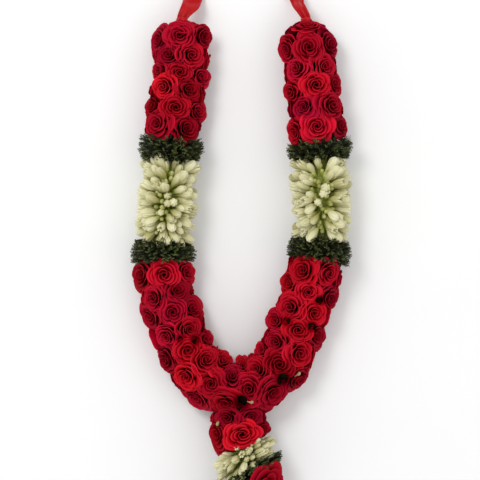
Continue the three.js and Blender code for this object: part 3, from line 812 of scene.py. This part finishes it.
def rose_petals(cells, petal):
    """Every petal of the given roses as closed thin shells.

    A petal runs up from its base v = 0 to its rim v = 1 and across from u = -1 to
    u = 1. Its radius grows as the sine of v from base to rim and its height as a
    power of v; both stop short towards the side edges, which rounds its outline,
    and the middle of an outer rim draws out to a blunt point. Near the rim the
    roll pushes the radius out and the height down. The heart of a cupped rose
    stands lower than its middle whorls.
    """
    per_rose = sum(whorl[0] for whorl in WHORLS)

    def per_petal(values):
        return np.repeat(np.array(values), per_rose, axis=0)

    table = petal_table(cells)
    (azimuth, half, rim, height, base, depth, roll, spiral, wave, lift, inner, mark) = (
        table.T[:, :, None, None]
    )
    u = PETAL_COLUMNS[None, None, :]
    v = PETAL_ROWS[None, :, None]
    short = 1 - 0.28 * np.abs(u) ** 3
    vv = v * short
    rolled = np.clip((vv - ROLL_FROM) / (1 - ROLL_FROM), 0, 1) ** 2 * roll
    point = 0.06 * (1 - np.abs(u)) ** 2 * vv**6 * (1 - inner)
    radius = (
        base + (rim - base) * np.sin(vv * math.pi / 2) ** 0.85 + spiral * u * (0.25 + 0.75 * vv)
        + rolled + point - np.abs(u) ** 3 * 0.03
    )
    angle = azimuth + u * half * (0.8 + 0.2 * vv)
    up = (
        depth + (height - depth) * vv**1.25 - rolled - 0.5 * point
        + 0.025 * np.sin(2.2 * u * math.pi + 3 * wave) * vv**4
        + 0.04 * (1 - np.abs(u)) ** 2 * vv**3 * lift
    )
    stretch = per_petal([petal_reach(c) for c in cells])[:, None, None]
    shape = np.broadcast_arrays(radius * np.cos(angle), radius * np.sin(angle), up)
    local = np.stack(shape, -1) * stretch
    normal = unit(np.cross(np.gradient(local, axis=1), np.gradient(local, axis=2)))
    thin = PETAL_THICKNESS * (0.8 + 0.6 * (1 - v))[..., None]
    both = np.stack([local + normal * thin / 2, local - normal * thin / 2], axis=1)
    axes = per_petal([(c["along"], c["across"], c["axis"]) for c in cells])
    hearts = per_petal([c["heart"] + c["axis"] * GROWN_RISE * (c["grown"] - 1) for c in cells])
    world = np.einsum("nsrcj,njk->nsrck", both, axes) + hearts[:, None, None, None]

    def spread(values):
        return np.broadcast_to(values, world.shape[:4]).reshape(-1)

    tone, cool = (
        per_petal([look(c) for c in cells])[:, None, None, None] for look in (rose_tone, rose_cool)
    )
    points, gap_shade = fallen(world.reshape(-1, 3))
    faces = shell_faces(len(PETAL_ROWS), len(PETAL_COLUMNS))
    return dict(
        points=settled(points, cells[0]["route"]),
        faces=[tiled(faces, len(table), world[0].size // 3)],
        material=petal,
        values=dict(
            tone=spread(tone), cool=spread(cool), inner=spread(inner[:, None]),
            # Along drops near a gap, which paints shade on the petals there.
            along=spread((v * (0.75 + 0.25 * short))[:, None]) * (1 - 0.9 * gap_shade),
            shade=spread((0.5 + 0.5 * draw(mark, 31))[:, None]),
        ),
    )


# ---- Tuberose ---------------------------------------------------------------

# A bud's outline from its stalk to its tip: share of its length, then its radius
# as a share of its head's. A closed bud ends at a blunt tip. An opened one turns
# in at its rim, down to the floor of its cup.
BUD_STALK = [(0.00, 0.28), (0.14, 0.30), (0.28, 0.36), (0.41, 0.50), (0.53, 0.70), (0.64, 0.88)]
CLOSED_BUD = np.array([
    *BUD_STALK, (0.74, 0.98), (0.82, 0.98), (0.89, 0.86), (0.95, 0.62), (0.985, 0.36), (1.0, 0.10),
])
OPENED_BUD = np.array([
    *BUD_STALK, (0.75, 0.98), (0.84, 0.99), (0.92, 0.92), (0.975, 0.80), (1.0, 0.64),
    (0.965, 0.44), (0.91, 0.26), (0.87, 0.06),
])
BUD_SIDES = 24
BUD_WANDER = dict(round=0.08, along=0.5, lean=0.05)
BUD_SWAY = 2.2
CREASE_DEPTH = 0.24
CUP_SHADE = 0.17  # how much darker each step down into an opened bud is

# The buds that fill a band, in groups of as many as it has even places: the
# first of their numbers, steps round, how far along as a share of the gap between
# two rings, how loose, their length and their radius.
BUD_GROUPS = [
    (0, 0.0, 0.0, 1.0, BUD_LENGTH - 0.4, 6.1),
    (3000, 0.9, 0.35, 1.2, 35.5, 5.4),
    (4000, 1.1, -0.35, 1.2, 31.0, 5.0),
]
OPENED_ABOVE = 0.3  # the draw from which on a bud is opened at its tip
OPENED_LENGTH = 0.97  # its length then, as a share of a closed one's

# How far a group's buds stray if they are as loose as 1: round in steps, along,
# and in lean, which is also larger than the even places' by a share.
GROUP_WANDER = dict(steps=0.3, along=3.2, lean=0.16)
GROUP_LEAN = 1.1

# The parting on top of the strand: how far round it is felt, the draw below which
# a bud follows it, how far over it lays the bud, and how much higher that starts.
PARTING = dict(width=0.8, below=0.4, laid=0.52, rise=6)

# The small green buds, in such groups too: number, steps round, how far along,
# where their roots are, how loose, length, radius, how much greener, and how far
# up the strand they start. The first stand low on the stalks all round, and the
# others, which the pendant lacks, along the top.
SMALL_GROUPS = [
    (5000, 0.5, 4.5, 7.0, 0.6, 21.0, 3.0, 0.42, -1.0),
    (6000, -0.4, -4.0, 8.0, 0.7, 18.0, 3.3, 0.52, 0.72),
    (7000, 0.1, 0.5, 8.0, 0.7, 18.0, 3.3, 0.52, 0.72),
]

# The pendant's buds are slimmer and bend down the strand, more so on the left,
# where they also fan out from the band's middle.
PENDANT_BEND = dict(all=2.0, left=4.0, fan=16.0)
PENDANT_SLIM = 0.8


def root_draw(lean):
    """How far a leaning bud's root lies back from where the bud leaves the others."""
    return (BUD_VALLEY_AT - BUD_ROOT) * np.tan(lean)


def bud_reach(lean):
    """How far along the strand a leaning bud reaches from there."""
    most = lean + BUD_WANDER["lean"]
    head = BUD_HEAD_AT * BUD_LENGTH * np.sin(most) + BUD_RADIUS * np.cos(most)
    tip = BUD_LENGTH * np.sin(most) + BUD_TIP * BUD_RADIUS * np.cos(most)
    return np.maximum(head, tip) - root_draw(lean) + BUD_WANDER["along"] + BUD_MARGIN


def bud_places(route, stretch, first):
    """The even places of a stretch's buds. They lean out by the splay times their
    share of the way from the stretch's middle to its end, and less so at the
    strand's sides."""
    ring, i = np.meshgrid(np.arange(stretch["rings"]), np.arange(BUDS_IN_RING), indexing="ij")
    ring, i = ring.ravel(), i.ravel()
    number = (first + ring) * 10 + i
    share = 2 * ring / (stretch["rings"] - 1) - 1
    angle = even_angle(2 * i + ring % 2, BUDS_IN_RING) + BUD_WANDER["round"] * draw(number, 1)
    most = stretch["flank"] + (stretch["splay"] - stretch["flank"]) * np.sin(angle) ** 2
    half = (stretch["stop"] - stretch["start"]) / 2
    at = stretch["start"] + half + (half - bud_reach(most)) * share
    at = at + BUD_WANDER["along"] * draw(number, 2)
    lean = most * share + BUD_WANDER["lean"] * draw(number, 3)
    return dict(number=number, at=at, angle=angle, lean=lean, share=share, route=route)


def beside(places, number, steps, along, root_at, loose, parting):
    """As many buds beside the given places, so many steps round and so far along,
    and as loose about that as given. A parting along the top of the strand lays
    most of the buds near it to the left and right."""
    route = places["route"]
    number = places["number"] + number
    stray = {way: most * loose for way, most in GROUP_WANDER.items()}
    angle = places["angle"] + math.pi / BUDS_IN_RING * (steps + stray["steps"] * draw(number, 1))
    at = places["at"] + along + stray["along"] * draw(number, 2)
    off = (angle + math.pi / 2) % (2 * math.pi) - math.pi
    near = bell(off, parting, 0, PARTING["width"]) * (draw(number, 14) < PARTING["below"])
    laid = angle + PARTING["laid"] * near * np.where(off + 0.1 * draw(number, 15) > 0, 1, -1)
    ahead, out = route.ahead_and_out(at, laid)
    lean = places["lean"] * GROUP_LEAN + stray["lean"] * draw(number, 3)
    root = route.spot(at, angle, root_at + PARTING["rise"] * near)
    root = root - ahead * root_draw(lean)[:, None] * 0.6
    return dict(places, number=number, angle=angle, out=out, ahead=ahead, lean=lean, root=root)


def bud_part(places, chosen, outline, length, radius, skin, green=0.0):
    """The chosen buds with the given outline, each a tube of six lobes.

    Its radius is the outline's, less a crease between each two lobes that goes as
    (1 - |sin 3 phi|) squared round the bud, fades halfway down it and is faint at
    every second lobe. The lobes end in points, further so round an opened tip. A
    bud sways and bends by the square of the way along it. The stalk's green
    reaches further up it by the given share.
    """
    number, out, ahead, lean, root, bend = (
        places[k][chosen] for k in ("number", "out", "ahead", "lean", "root", "bend")
    )
    n, rings = len(number), len(outline)
    axis = out * np.cos(lean)[:, None] + ahead * np.sin(lean)[:, None]
    across = unit(np.cross(axis, ahead))
    along = np.cross(across, axis)
    v = outline[None, :, 0, None]
    phi = 2 * math.pi * np.arange(BUD_SIDES)[None, None] / BUD_SIDES
    crease = (1 - np.abs(np.sin(3 * phi))) ** 2 * np.where(np.cos(3 * phi) > 0, 1.0, 0.55)
    lobed = np.clip((v - 0.4) / 0.4, 0, 1)
    size = (1 + 0.07 * draw(number, 7))[:, None, None]
    r = radius * size * outline[None, :, 1, None] * (1 - lobed * CREASE_DEPTH * crease)
    split = 0.18 if outline is OPENED_BUD else 0.06
    high = v + split * np.clip((v - 0.78) / 0.2, 0, 1) * (0.1 - crease)
    high = np.minimum(high, 1.02) * length * size
    curve = (high / length) ** 2
    sway, swing = ((BUD_SWAY * draw(number, trait))[:, None, None] for trait in (9, 19))
    turn = phi + math.pi * draw(number, 4)[:, None, None]
    x, y, z = np.broadcast_arrays(
        r * np.cos(turn) + sway * curve, r * np.sin(turn) + swing * curve, high
    )
    points = (
        root[:, None, None] + x[..., None] * along[:, None, None]
        + y[..., None] * across[:, None, None] + z[..., None] * axis[:, None, None]
        + (bend[:, None, None] * curve)[..., None] * ahead[:, None, None]
    )
    every = np.concatenate(
        [points.reshape(n, -1, 3), points[:, :1].mean(2), points[:, -1:].mean(2)], axis=1
    )
    quads, fans = tube_faces(rings, BUD_SIDES)
    past_rim = np.clip(np.arange(rings) - np.argmax(outline[:, 0]), 0, None)[None, :, None]
    shares = np.clip(v - green - CUP_SHADE * past_rim, 0, 1)
    first, last = np.zeros((n, 1)), np.full((n, 1), shares[0, -1, 0])
    shares = np.broadcast_to(shares, (n, rings, BUD_SIDES)).reshape(n, -1)
    shares = np.concatenate([shares, first, last], axis=1)
    tone = np.broadcast_to((0.5 + 0.5 * draw(number, 10))[:, None], shares.shape)
    return dict(
        points=settled(every.reshape(-1, 3), places["route"]),
        faces=[tiled(quads, n, every.shape[1]), tiled(fans, n, every.shape[1])],
        material=skin, values=dict(along=shares.ravel(), tone=tone.ravel()),
    )


def buds(route, stretch, first, skin):
    """All buds of a stretch. One in three has opened at the tip. Shorter ones
    fill the gaps, and small green ones stand low on the stalks and, but for the
    pendant's, along the parting on top."""
    places = bud_places(route, stretch, first)
    side = np.cos(places["angle"])
    places["bend"] = 0 * side
    slim, parting = 1.0, 1.0
    if route is pendant:
        left = np.where(places["share"] < 0, np.clip(2 * side - 1, 0, 1), np.clip(side + 0.3, 0, 1))
        fan = PENDANT_BEND["fan"] * left * places["share"]
        places["bend"] = PENDANT_BEND["all"] + PENDANT_BEND["left"] * side + fan
        slim, parting = PENDANT_SLIM, 0.0
    parts = []
    small_groups = SMALL_GROUPS if parting else SMALL_GROUPS[:1]
    for number, steps, along, root_at, loose, length, radius, green, above in small_groups:
        group = beside(places, number, steps, along, root_at, loose, 0.0)
        shown = np.sin(group["angle"]) >= above
        parts.append(bud_part(group, shown, CLOSED_BUD, length, radius, skin, green))
    gap = np.ptp(places["at"]) / (stretch["rings"] - 1)
    for number, steps, along, loose, length, radius in BUD_GROUPS:
        group = beside(places, number, steps, gap * along, BUD_ROOT, loose, parting)
        opened = draw(group["number"], 8) > OPENED_ABOVE
        radius *= slim
        parts.append(bud_part(group, ~opened, CLOSED_BUD, length, radius, skin))
        parts.append(bud_part(group, opened, OPENED_BUD, length * OPENED_LENGTH, radius, skin))
    return parts


# ---- Foliage ----------------------------------------------------------------

# A needle is a sliver folded along its length: its foot and tip lie a little
# below its two edges.
NEEDLE = np.array([(0, 0, -0.1), (0.4, 0.5, 0.1), (0.4, -0.5, 0.1), (1, 0, -0.1)])
NEEDLE_FACES = np.array([(0, 1, 2), (3, 2, 1), (0, 3, 1), (0, 2, 3)])
NEEDLE_WIDTH = 1.5
NEEDLE_LENGTH, NEEDLE_TAPER = 5.4, 2.2  # at a sprig's foot, and how much less at its tip
SPRIG_FOOT_AT = 29.0  # where a sprig starts, measured from the string

# Two steps that spread points evenly over a square: one divided by the plastic
# number, and by its square.
EVEN_STEPS = (0.7548776662, 0.5698402910)


def sprigs(route, start, stop, scale, seed, leaf, splay, low=0, count=330, needles=15):
    """Feathery sprigs packed over the strand. Each is a line of small pointed
    needles that stand to both sides of it, a half turn from one to the next with
    a draw, and point forward. The sprigs are shorter near the buds, which are at
    the stop for low = 1 and at the start for low = -1."""
    n = np.arange(count)
    angle = 2 * math.pi * ((n * EVEN_STEPS[0] + 0.5) % 1)
    share = (n * EVEN_STEPS[1] + 0.5) % 1
    at = start + (stop - start) * (-0.02 + 1.04 * share)
    ahead, out = route.ahead_and_out(at, angle)
    forward = splay * (share - 0.5) + 0.39 * splay * draw(n + seed, 2)
    round_way = np.cross(out, ahead) * 0.6 * draw(n + seed, 3)[:, None]
    way = unit(out + ahead * forward[:, None] + round_way)
    foot_at = SPRIG_FOOT_AT * scale
    root = route.spot(at, angle, np.full(count, foot_at))
    near_end = 2 * share - 1
    length = (scale * (LEAF_RADIUS - 0.6 + 1.4 * draw(n + seed, 4)) - foot_at) * (
        1 - 0.08 * np.abs(near_end) - 0.34 * np.clip(low * near_end, 0, 1)
    )
    if route is pendant:
        length *= 1 - 0.45 * np.clip(np.cos(angle - math.pi / 3), 0, 1) ** 2
    t = np.linspace(0.1, 1.0, needles)[None]
    foot = root[:, None] + way[:, None] * (length[:, None] * t)[..., None]
    k = np.arange(needles)[None]
    roll = math.pi * draw(n + seed, 5)[:, None] + math.pi * k + 0.5 * draw(n[:, None] * 31 + k, 8)
    first = unit(np.cross(way, ahead))
    second = np.cross(way, first)
    sideways = first[:, None] * np.cos(roll)[..., None] + second[:, None] * np.sin(roll)[..., None]
    point_way = unit(sideways + way[:, None] * (0.9 + 1.6 * (t > 0.99))[..., None])
    flat = unit(np.cross(point_way, sideways + 0.3 * ahead[:, None]))
    thick = np.cross(point_way, flat)
    long = (NEEDLE_LENGTH - NEEDLE_TAPER * t) * (1 + 0.2 * draw(n[:, None] * 20 + k + seed, 6))
    along, across, over = (NEEDLE[None, None, :, a, None] for a in range(3))
    points = (
        foot[:, :, None] + along * long[..., None, None] * point_way[:, :, None]
        + across * NEEDLE_WIDTH * flat[:, :, None] + over * NEEDLE_WIDTH * thick[:, :, None]
    )
    # Darker towards each sprig's foot: painted shade deep in the foliage; the draw varies each
    # sprig's own tone.
    tone = 0.03 + 0.97 * t**1.8 * (0.5 + 0.5 * draw(n[:, None] + seed, 7)) ** 1.3
    tone = np.broadcast_to(tone[..., None], (count, needles, len(NEEDLE)))
    return dict(
        points=settled(points.reshape(-1, 3), route),
        faces=[tiled(NEEDLE_FACES, count * needles, len(NEEDLE))], material=leaf,
        values=dict(tone=tone.ravel()),
    )


# ---- Ribbons ----------------------------------------------------------------

RIBBON_ROWS, RIBBON_COLUMNS = 64, 11
RIBBON_THICKNESS = 0.3
RIBBON_LIES_AT = 0.9  # the least height of its middle over the table
PINCH_FOLD = 5.5
FLAT_WAVE = 0.9
TAIL_LENGTH = 14  # what is cut to a swallow's tail
TAIL_NOTCH = 0.35  # how deep the cut is, as a share of the width
KNOT_RADII = (7.2, 6.4, 4.4)
KNOT_FOLDS = 0.13
KNOT_PAST_END = 1.5


def ribbon(name, node, end, way, widths, satin):
    """A satin ribbon as a thin closed sheet along a smooth line from the string's
    end. Across it, at u = -1 to 1, it folds as the cosine of 1.5 pi u where it is
    pinched, and waves slowly where it lies flat. Its last stretch is drawn back
    towards its middle line, by the square of the way along that stretch."""
    points = np.array(way, float) + (end[0], end[1], 0)
    line = Route(points, height=0)
    s = np.linspace(0, line.length, RIBBON_ROWS)
    marks = [line.walked[np.argmin(np.linalg.norm(line.fine - p, axis=1))] for p in points]
    width = np.interp(s, marks, widths)[:, None]
    centre = line.place(s)
    ahead, side, up = line.frame_at(s)
    u = np.linspace(-1, 1, RIBBON_COLUMNS)[None]
    full = max(widths)
    pinch = np.clip(1 - width / full, 0, 1)
    waved = FLAT_WAVE * np.sin(s[:, None] / 13 + 1.5 * u) * (1 - pinch)
    fold = PINCH_FOLD * pinch * np.cos(u * math.pi * 1.5) + waved
    lift = np.maximum(RIBBON_LIES_AT - (centre[:, None, 2] + fold), 0)
    tail = np.clip(1 - (line.length - s) / TAIL_LENGTH, 0, 1)[:, None] ** 2
    cut = TAIL_NOTCH * widths[-1] * tail * (1 - np.abs(u))
    grid = (
        centre[:, None] + side[:, None] * (u * width / 2)[..., None]
        + up[:, None] * (fold + lift)[..., None] - ahead[:, None] * cut[..., None]
    )
    normal = unit(np.cross(np.gradient(grid, axis=0), np.gradient(grid, axis=1)))
    half = normal * RIBBON_THICKNESS / 2
    sheet = dict(points=placed(np.stack([grid + half, grid - half]).reshape(-1, 3)),
                 faces=[shell_faces(RIBBON_ROWS, RIBBON_COLUMNS)], material=satin)
    made = piece(name, node, [sheet])


def ball(radii, folds):
    """The points and faces of a ball with the given radii, the last of them from
    its middle to its poles. Five soft folds wind from pole to pole, as deep as
    the given share of its radius."""
    rings, sides, first = 15, 36, 0.12
    polar = np.linspace(first, math.pi - first, rings)[:, None]
    turn = 2 * math.pi * np.arange(sides)[None] / sides
    round_way = (1 + folds * np.sin(5 * turn + 2 * polar) * np.sin(polar)) * np.sin(polar)
    points = np.stack(np.broadcast_arrays(
        radii[0] * round_way * np.cos(turn), radii[1] * round_way * np.sin(turn),
        radii[2] * np.cos(polar),
    ), -1).reshape(-1, 3)
    points = np.concatenate([points, [(0, 0, radii[2]), (0, 0, -radii[2])]])
    return points, turned_over(tube_faces(rings, sides))


def knot(name, node, end, satin):
    """A ribbon's knot round the string's end, with its poles along the string."""
    points, faces = ball(KNOT_RADII, KNOT_FOLDS)
    points = points[:, [0, 2, 1]] * (1, -1, 1) + (end[0], end[1] + KNOT_PAST_END, STRAND_HEIGHT)
    piece(name, node, [dict(points=placed(points), faces=faces, material=satin)])


# ---- Build ------------------------------------------------------------------

petal, shaded_calyx, calyx_tip = petal_material(), shaded_calyx_material(), tip_material()
bud_skin, stalk, leaf = bud_material(), stalk_material(), leaf_material()
satin, cotton = satin_material(), cotton_material()

for name in ("string_neck", "string_pendant"):
    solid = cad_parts[name]
    solid.data.materials.clear()
    solid.data.materials.append(cotton)

PALE_TIP = dict(root_at=31, length=10.0, radius=2.2)
TIP_BUD_RADII = (3.4, 3.4, 4.6)
TIP_BUD_FOLDS = 0.1
CORE_SINK = 2.5  # how far a core stays under the bottom between roses
CORE_GAP = 0.2  # what two cores leave between them
# The core stops short of the neck loop's ends, and a thin one runs on there.
LOOP_CORE_SHORT = 13
THIN_CORE = dict(near=3, far=18, radius=8)
TIP_CORE_SHORT = 12


def thin_core(end, way, seed):
    """The thin core inside the roses that close an end of the neck loop."""
    low, high = sorted((end + way * THIN_CORE["near"], end + way * THIN_CORE["far"]))
    return core(neck, low, high, THIN_CORE["radius"], shaded_calyx, ends=0.6, seed=seed)


def tip_bud():
    """The closed middle of the tip's rose, over the string's end."""
    cell = tip_cell()
    points, faces = ball(TIP_BUD_RADII, TIP_BUD_FOLDS)
    axes = np.array([cell["along"], cell["across"], cell["axis"]])
    points = settled(points @ axes + cell["heart"] - cell["axis"], pendant)
    # Full inner and a low along give it the petals' painted shade of a rose's heart.
    ones = np.ones(len(points))
    return dict(points=points, faces=faces, material=petal,
                values=dict(tone=0.3 * ones, along=0.6 * ones, inner=ones, shade=0.5 * ones))


def pale_tip(route, at, angle):
    """The pale tip of a calyx that shows between the roses."""
    at, angle = np.array([at], float), np.array([angle])
    ahead, out = route.ahead_and_out(at, angle)
    number = 7000 + at.astype(int)
    places = dict(
        number=number, out=out, ahead=ahead, lean=0.9 + 0.2 * draw(number, 3), bend=0 * at,
        root=route.spot(at, angle, [PALE_TIP["root_at"]]), route=route,
    )
    length, radius = PALE_TIP["length"], PALE_TIP["radius"]
    return bud_part(places, np.ones(1, bool), CLOSED_BUD, length, radius, calyx_tip)


# What some rose nodes have besides their rings: more roses, more parts, and how
# far short of the node's start and stop its core ends.
NOTHING_MORE = dict(cells=[], parts=[], short=(0, 0))
MORE = {
    "roses_left_top": dict(
        cells=cap_cells(CAP["inset"], -1, 901), parts=[thin_core(LEFT_ROSES["start"], 1, 1)],
        short=(LOOP_CORE_SHORT, 0),
    ),
    "roses_lower_5": dict(NOTHING_MORE, parts=[pale_tip(neck, 545, 1.07)]),
    "roses_lower_6": dict(NOTHING_MORE, parts=[pale_tip(neck, 601, 0.62)]),
    "roses_right_top": dict(
        cells=cap_cells(neck.length - CAP["inset"], 1, 905),
        parts=[thin_core(RIGHT_ROSES["stop"], -1, 2)], short=(0, LOOP_CORE_SHORT),
    ),
    "roses_pendant_collar": dict(NOTHING_MORE, parts=[pale_tip(pendant, 35, 0.66)]),
    "roses_pendant_tip": dict(cells=[tip_cell()], parts=[tip_bud()], short=(0, TIP_CORE_SHORT)),
}


def dress_roses(route, stretch, count, first, radii, nodes):
    """Replaces a stretch's rose nodes, given with how many rings each holds, with
    petals round a core. The stretch's ends have the given radii."""
    rings = stretch["rings"] if route is pendant else even_rings(stretch)
    ends = [(stretch["start"], radii[0]), (stretch["stop"], radii[1])]
    cells = rose_cells(route, flower_rings(rings, count, first), count, ends)
    at = [ring["at"] for ring in rings]
    borders = [stretch["start"], *((a + b) / 2 for a, b in zip(at, at[1:])), stretch["stop"]]
    start = 0
    for name, size in nodes.items():
        stop = start + size
        more = MORE.get(name, NOTHING_MORE)
        mine = [c for ring in cells[start:stop] for c in ring] + more["cells"]
        low = borders[start] + more["short"][0] + CORE_GAP
        high = borders[stop] - more["short"][1] - CORE_GAP
        inner = min(ring["valley"] for ring in rings[start:stop]) - CORE_SINK
        middle = core(route, low, high, inner, shaded_calyx, ends=0.8, seed=first * 100 + start)
        piece(name + "_petals", name, [rose_petals(mine, petal), *more["parts"], middle])
        start = stop


for stretch_of_roses in [
    (neck, LEFT_ROSES, ROSES_IN_RING, 0, (22, 30),
     dict(roses_left_top=2, roses_left_middle=2, roses_left_low=2)),
    (neck, LOWER_ROSES, ROSES_IN_RING, 20, (30, 30),
     {f"roses_lower_{i + 1}": 2 for i in range(8)}),
    (neck, RIGHT_ROSES, ROSES_IN_RING, 40, (30, 22),
     dict(roses_right_low=2, roses_right_middle=2, roses_right_top=1)),
    (pendant, COLLAR, ROSES_IN_RING, 50, (26, 30), dict(roses_pendant_collar=2)),
    (pendant, BELL, ROSES_IN_BELL, 60, (36, 8), dict(roses_pendant_bell=1, roses_pendant_tip=2)),
]:
    dress_roses(*stretch_of_roses)

STALKS = dict(radius=10.0, uneven=0.3, sides=72, stalks=12)
STALKS_GAP = 0.3

for name, route, stretch, first in [
    ("tuberose_left", neck, LEFT_BUDS, 100),
    ("tuberose_right", neck, RIGHT_BUDS, 120),
    ("tuberose_pendant", pendant, PENDANT_BUDS, 140),
]:
    low, high = stretch["start"] + STALKS_GAP, stretch["stop"] - STALKS_GAP
    bundle = core(route, low, high, material=stalk, seed=first, **STALKS)
    piece(name + "_buds", name, [*buds(route, stretch, first, bud_skin), bundle])

# The face of a collar towards its buds has shorter sprigs, in two sizes: how
# deep that face is, and the scale and count of the sprigs.
FACE_DEPTH = 4.5
FACE_SPRIGS = [(0.74, 130), (0.52, 90)]
FOLIAGE_CORE = 30
FOLIAGE_GAP = 0.3

for i, (name, route, start, stop, scale, splay, low) in enumerate([
    ("greens_left_upper", neck, LEFT_ROSES["stop"], LEFT_BUDS["start"], 1, 0.45, 1),
    ("greens_left_lower", neck, LEFT_BUDS["stop"], LOWER_ROSES["start"], 1, 0.45, -1),
    ("greens_right_lower", neck, LOWER_ROSES["stop"], RIGHT_BUDS["start"], 1, 0.45, 1),
    ("greens_right_upper", neck, RIGHT_BUDS["stop"], RIGHT_ROSES["start"], 1, 0.45, -1),
    ("greens_pendant", pendant, *PENDANT_LEAVES, 1.06, 0.3, 1),
]):
    parts = [sprigs(route, start, stop, scale, 1000 * i, leaf, splay, low)]
    first, last = start + FOLIAGE_GAP, stop - FOLIAGE_GAP
    if route is neck:
        face = (start, start + FACE_DEPTH) if low < 0 else (stop - FACE_DEPTH, stop)
        first, last = (first + FACE_DEPTH, last) if low < 0 else (first, last - FACE_DEPTH)
        for share, count in FACE_SPRIGS:
            parts.append(sprigs(route, *face, share, 1000 * i + 400, leaf, 1.2, 0, count, 9))
    # The core keeps the leaf's near-black tone: painted shade under the sprigs.
    inside = core(route, first, last, FOLIAGE_CORE * scale, leaf, uneven=2.5, ends=0.8, seed=77 * i)
    piece(name + "_sprigs", name, [*parts, inside], smooth=False)

# Each ribbon's middle line from its end of the string on, and its widths there.
for node, end, way, widths in [
    ("ribbon_left", neck.place(0)[0], [
        (0, 0.8, 37), (0.6, 5, 37.5), (7, 15.5, 36), (11.5, 23, 29), (14, 33, 15),
        (16.5, 43, 4.5), (20, 56, 0.9), (31, 95, 0.9), (45, 138, 0.9),
    ], [12, 14, 19, 24, 25, 25, 25, 25, 25]),
    ("ribbon_right", neck.place(neck.length)[0], [
        (0, 0.8, 37), (-0.6, 5, 37.5), (-6.5, 15.5, 36), (-10.5, 23, 29), (-12.5, 33, 15),
        (-15, 43, 4.5), (-18, 56, 0.9), (-29, 95, 0.9), (-42, 138, 0.9),
    ], [10, 12, 14, 16, 19, 23, 25, 25, 25]),
]:
    ribbon(node + "_satin", node, end, way, widths, satin)
    knot(node + "_knot", node, end, satin)

# ---- Table and light --------------------------------------------------------

TABLE_HALF = 6  # metres, as are the lamps' places and sizes

floor_mesh = bpy.data.meshes.new("table")
corners = [(x * TABLE_HALF, y * TABLE_HALF, 0) for x, y in [(-1, -1), (1, -1), (1, 1), (-1, 1)]]
floor_mesh.from_pydata(corners, [], [(0, 1, 2, 3)])
floor_mesh.materials.append(floor_material())
floor = bpy.data.objects.new("table", floor_mesh)
bpy.context.scene.collection.objects.link(floor)

world = bpy.data.worlds.new("world")
bpy.context.scene.world = world
world.use_nodes = True
world.node_tree.nodes["Background"].inputs["Color"].default_value = (1, 1, 1, 1)
world.node_tree.nodes["Background"].inputs["Strength"].default_value = 0.8
bpy.context.scene.view_settings.view_transform = "Standard"


def area_light(name, location, size, power, target=(0, 0, 0.03)):
    """A round lamp that faces the target."""
    data = bpy.data.lights.new(name, "AREA")
    data.shape, data.size, data.energy = "DISK", size, power
    light = bpy.data.objects.new(name, data)
    light.location = location
    way = Vector(target) - Vector(location)
    light.rotation_euler = way.to_track_quat("-Z", "Y").to_euler()
    bpy.context.scene.collection.objects.link(light)


area_light("key", (-0.8, 0.8, 1.9), 0.8, 15)
area_light("fill", (1.4, -0.6, 1.6), 1.6, 4)

bpy.context.view_layer.update()
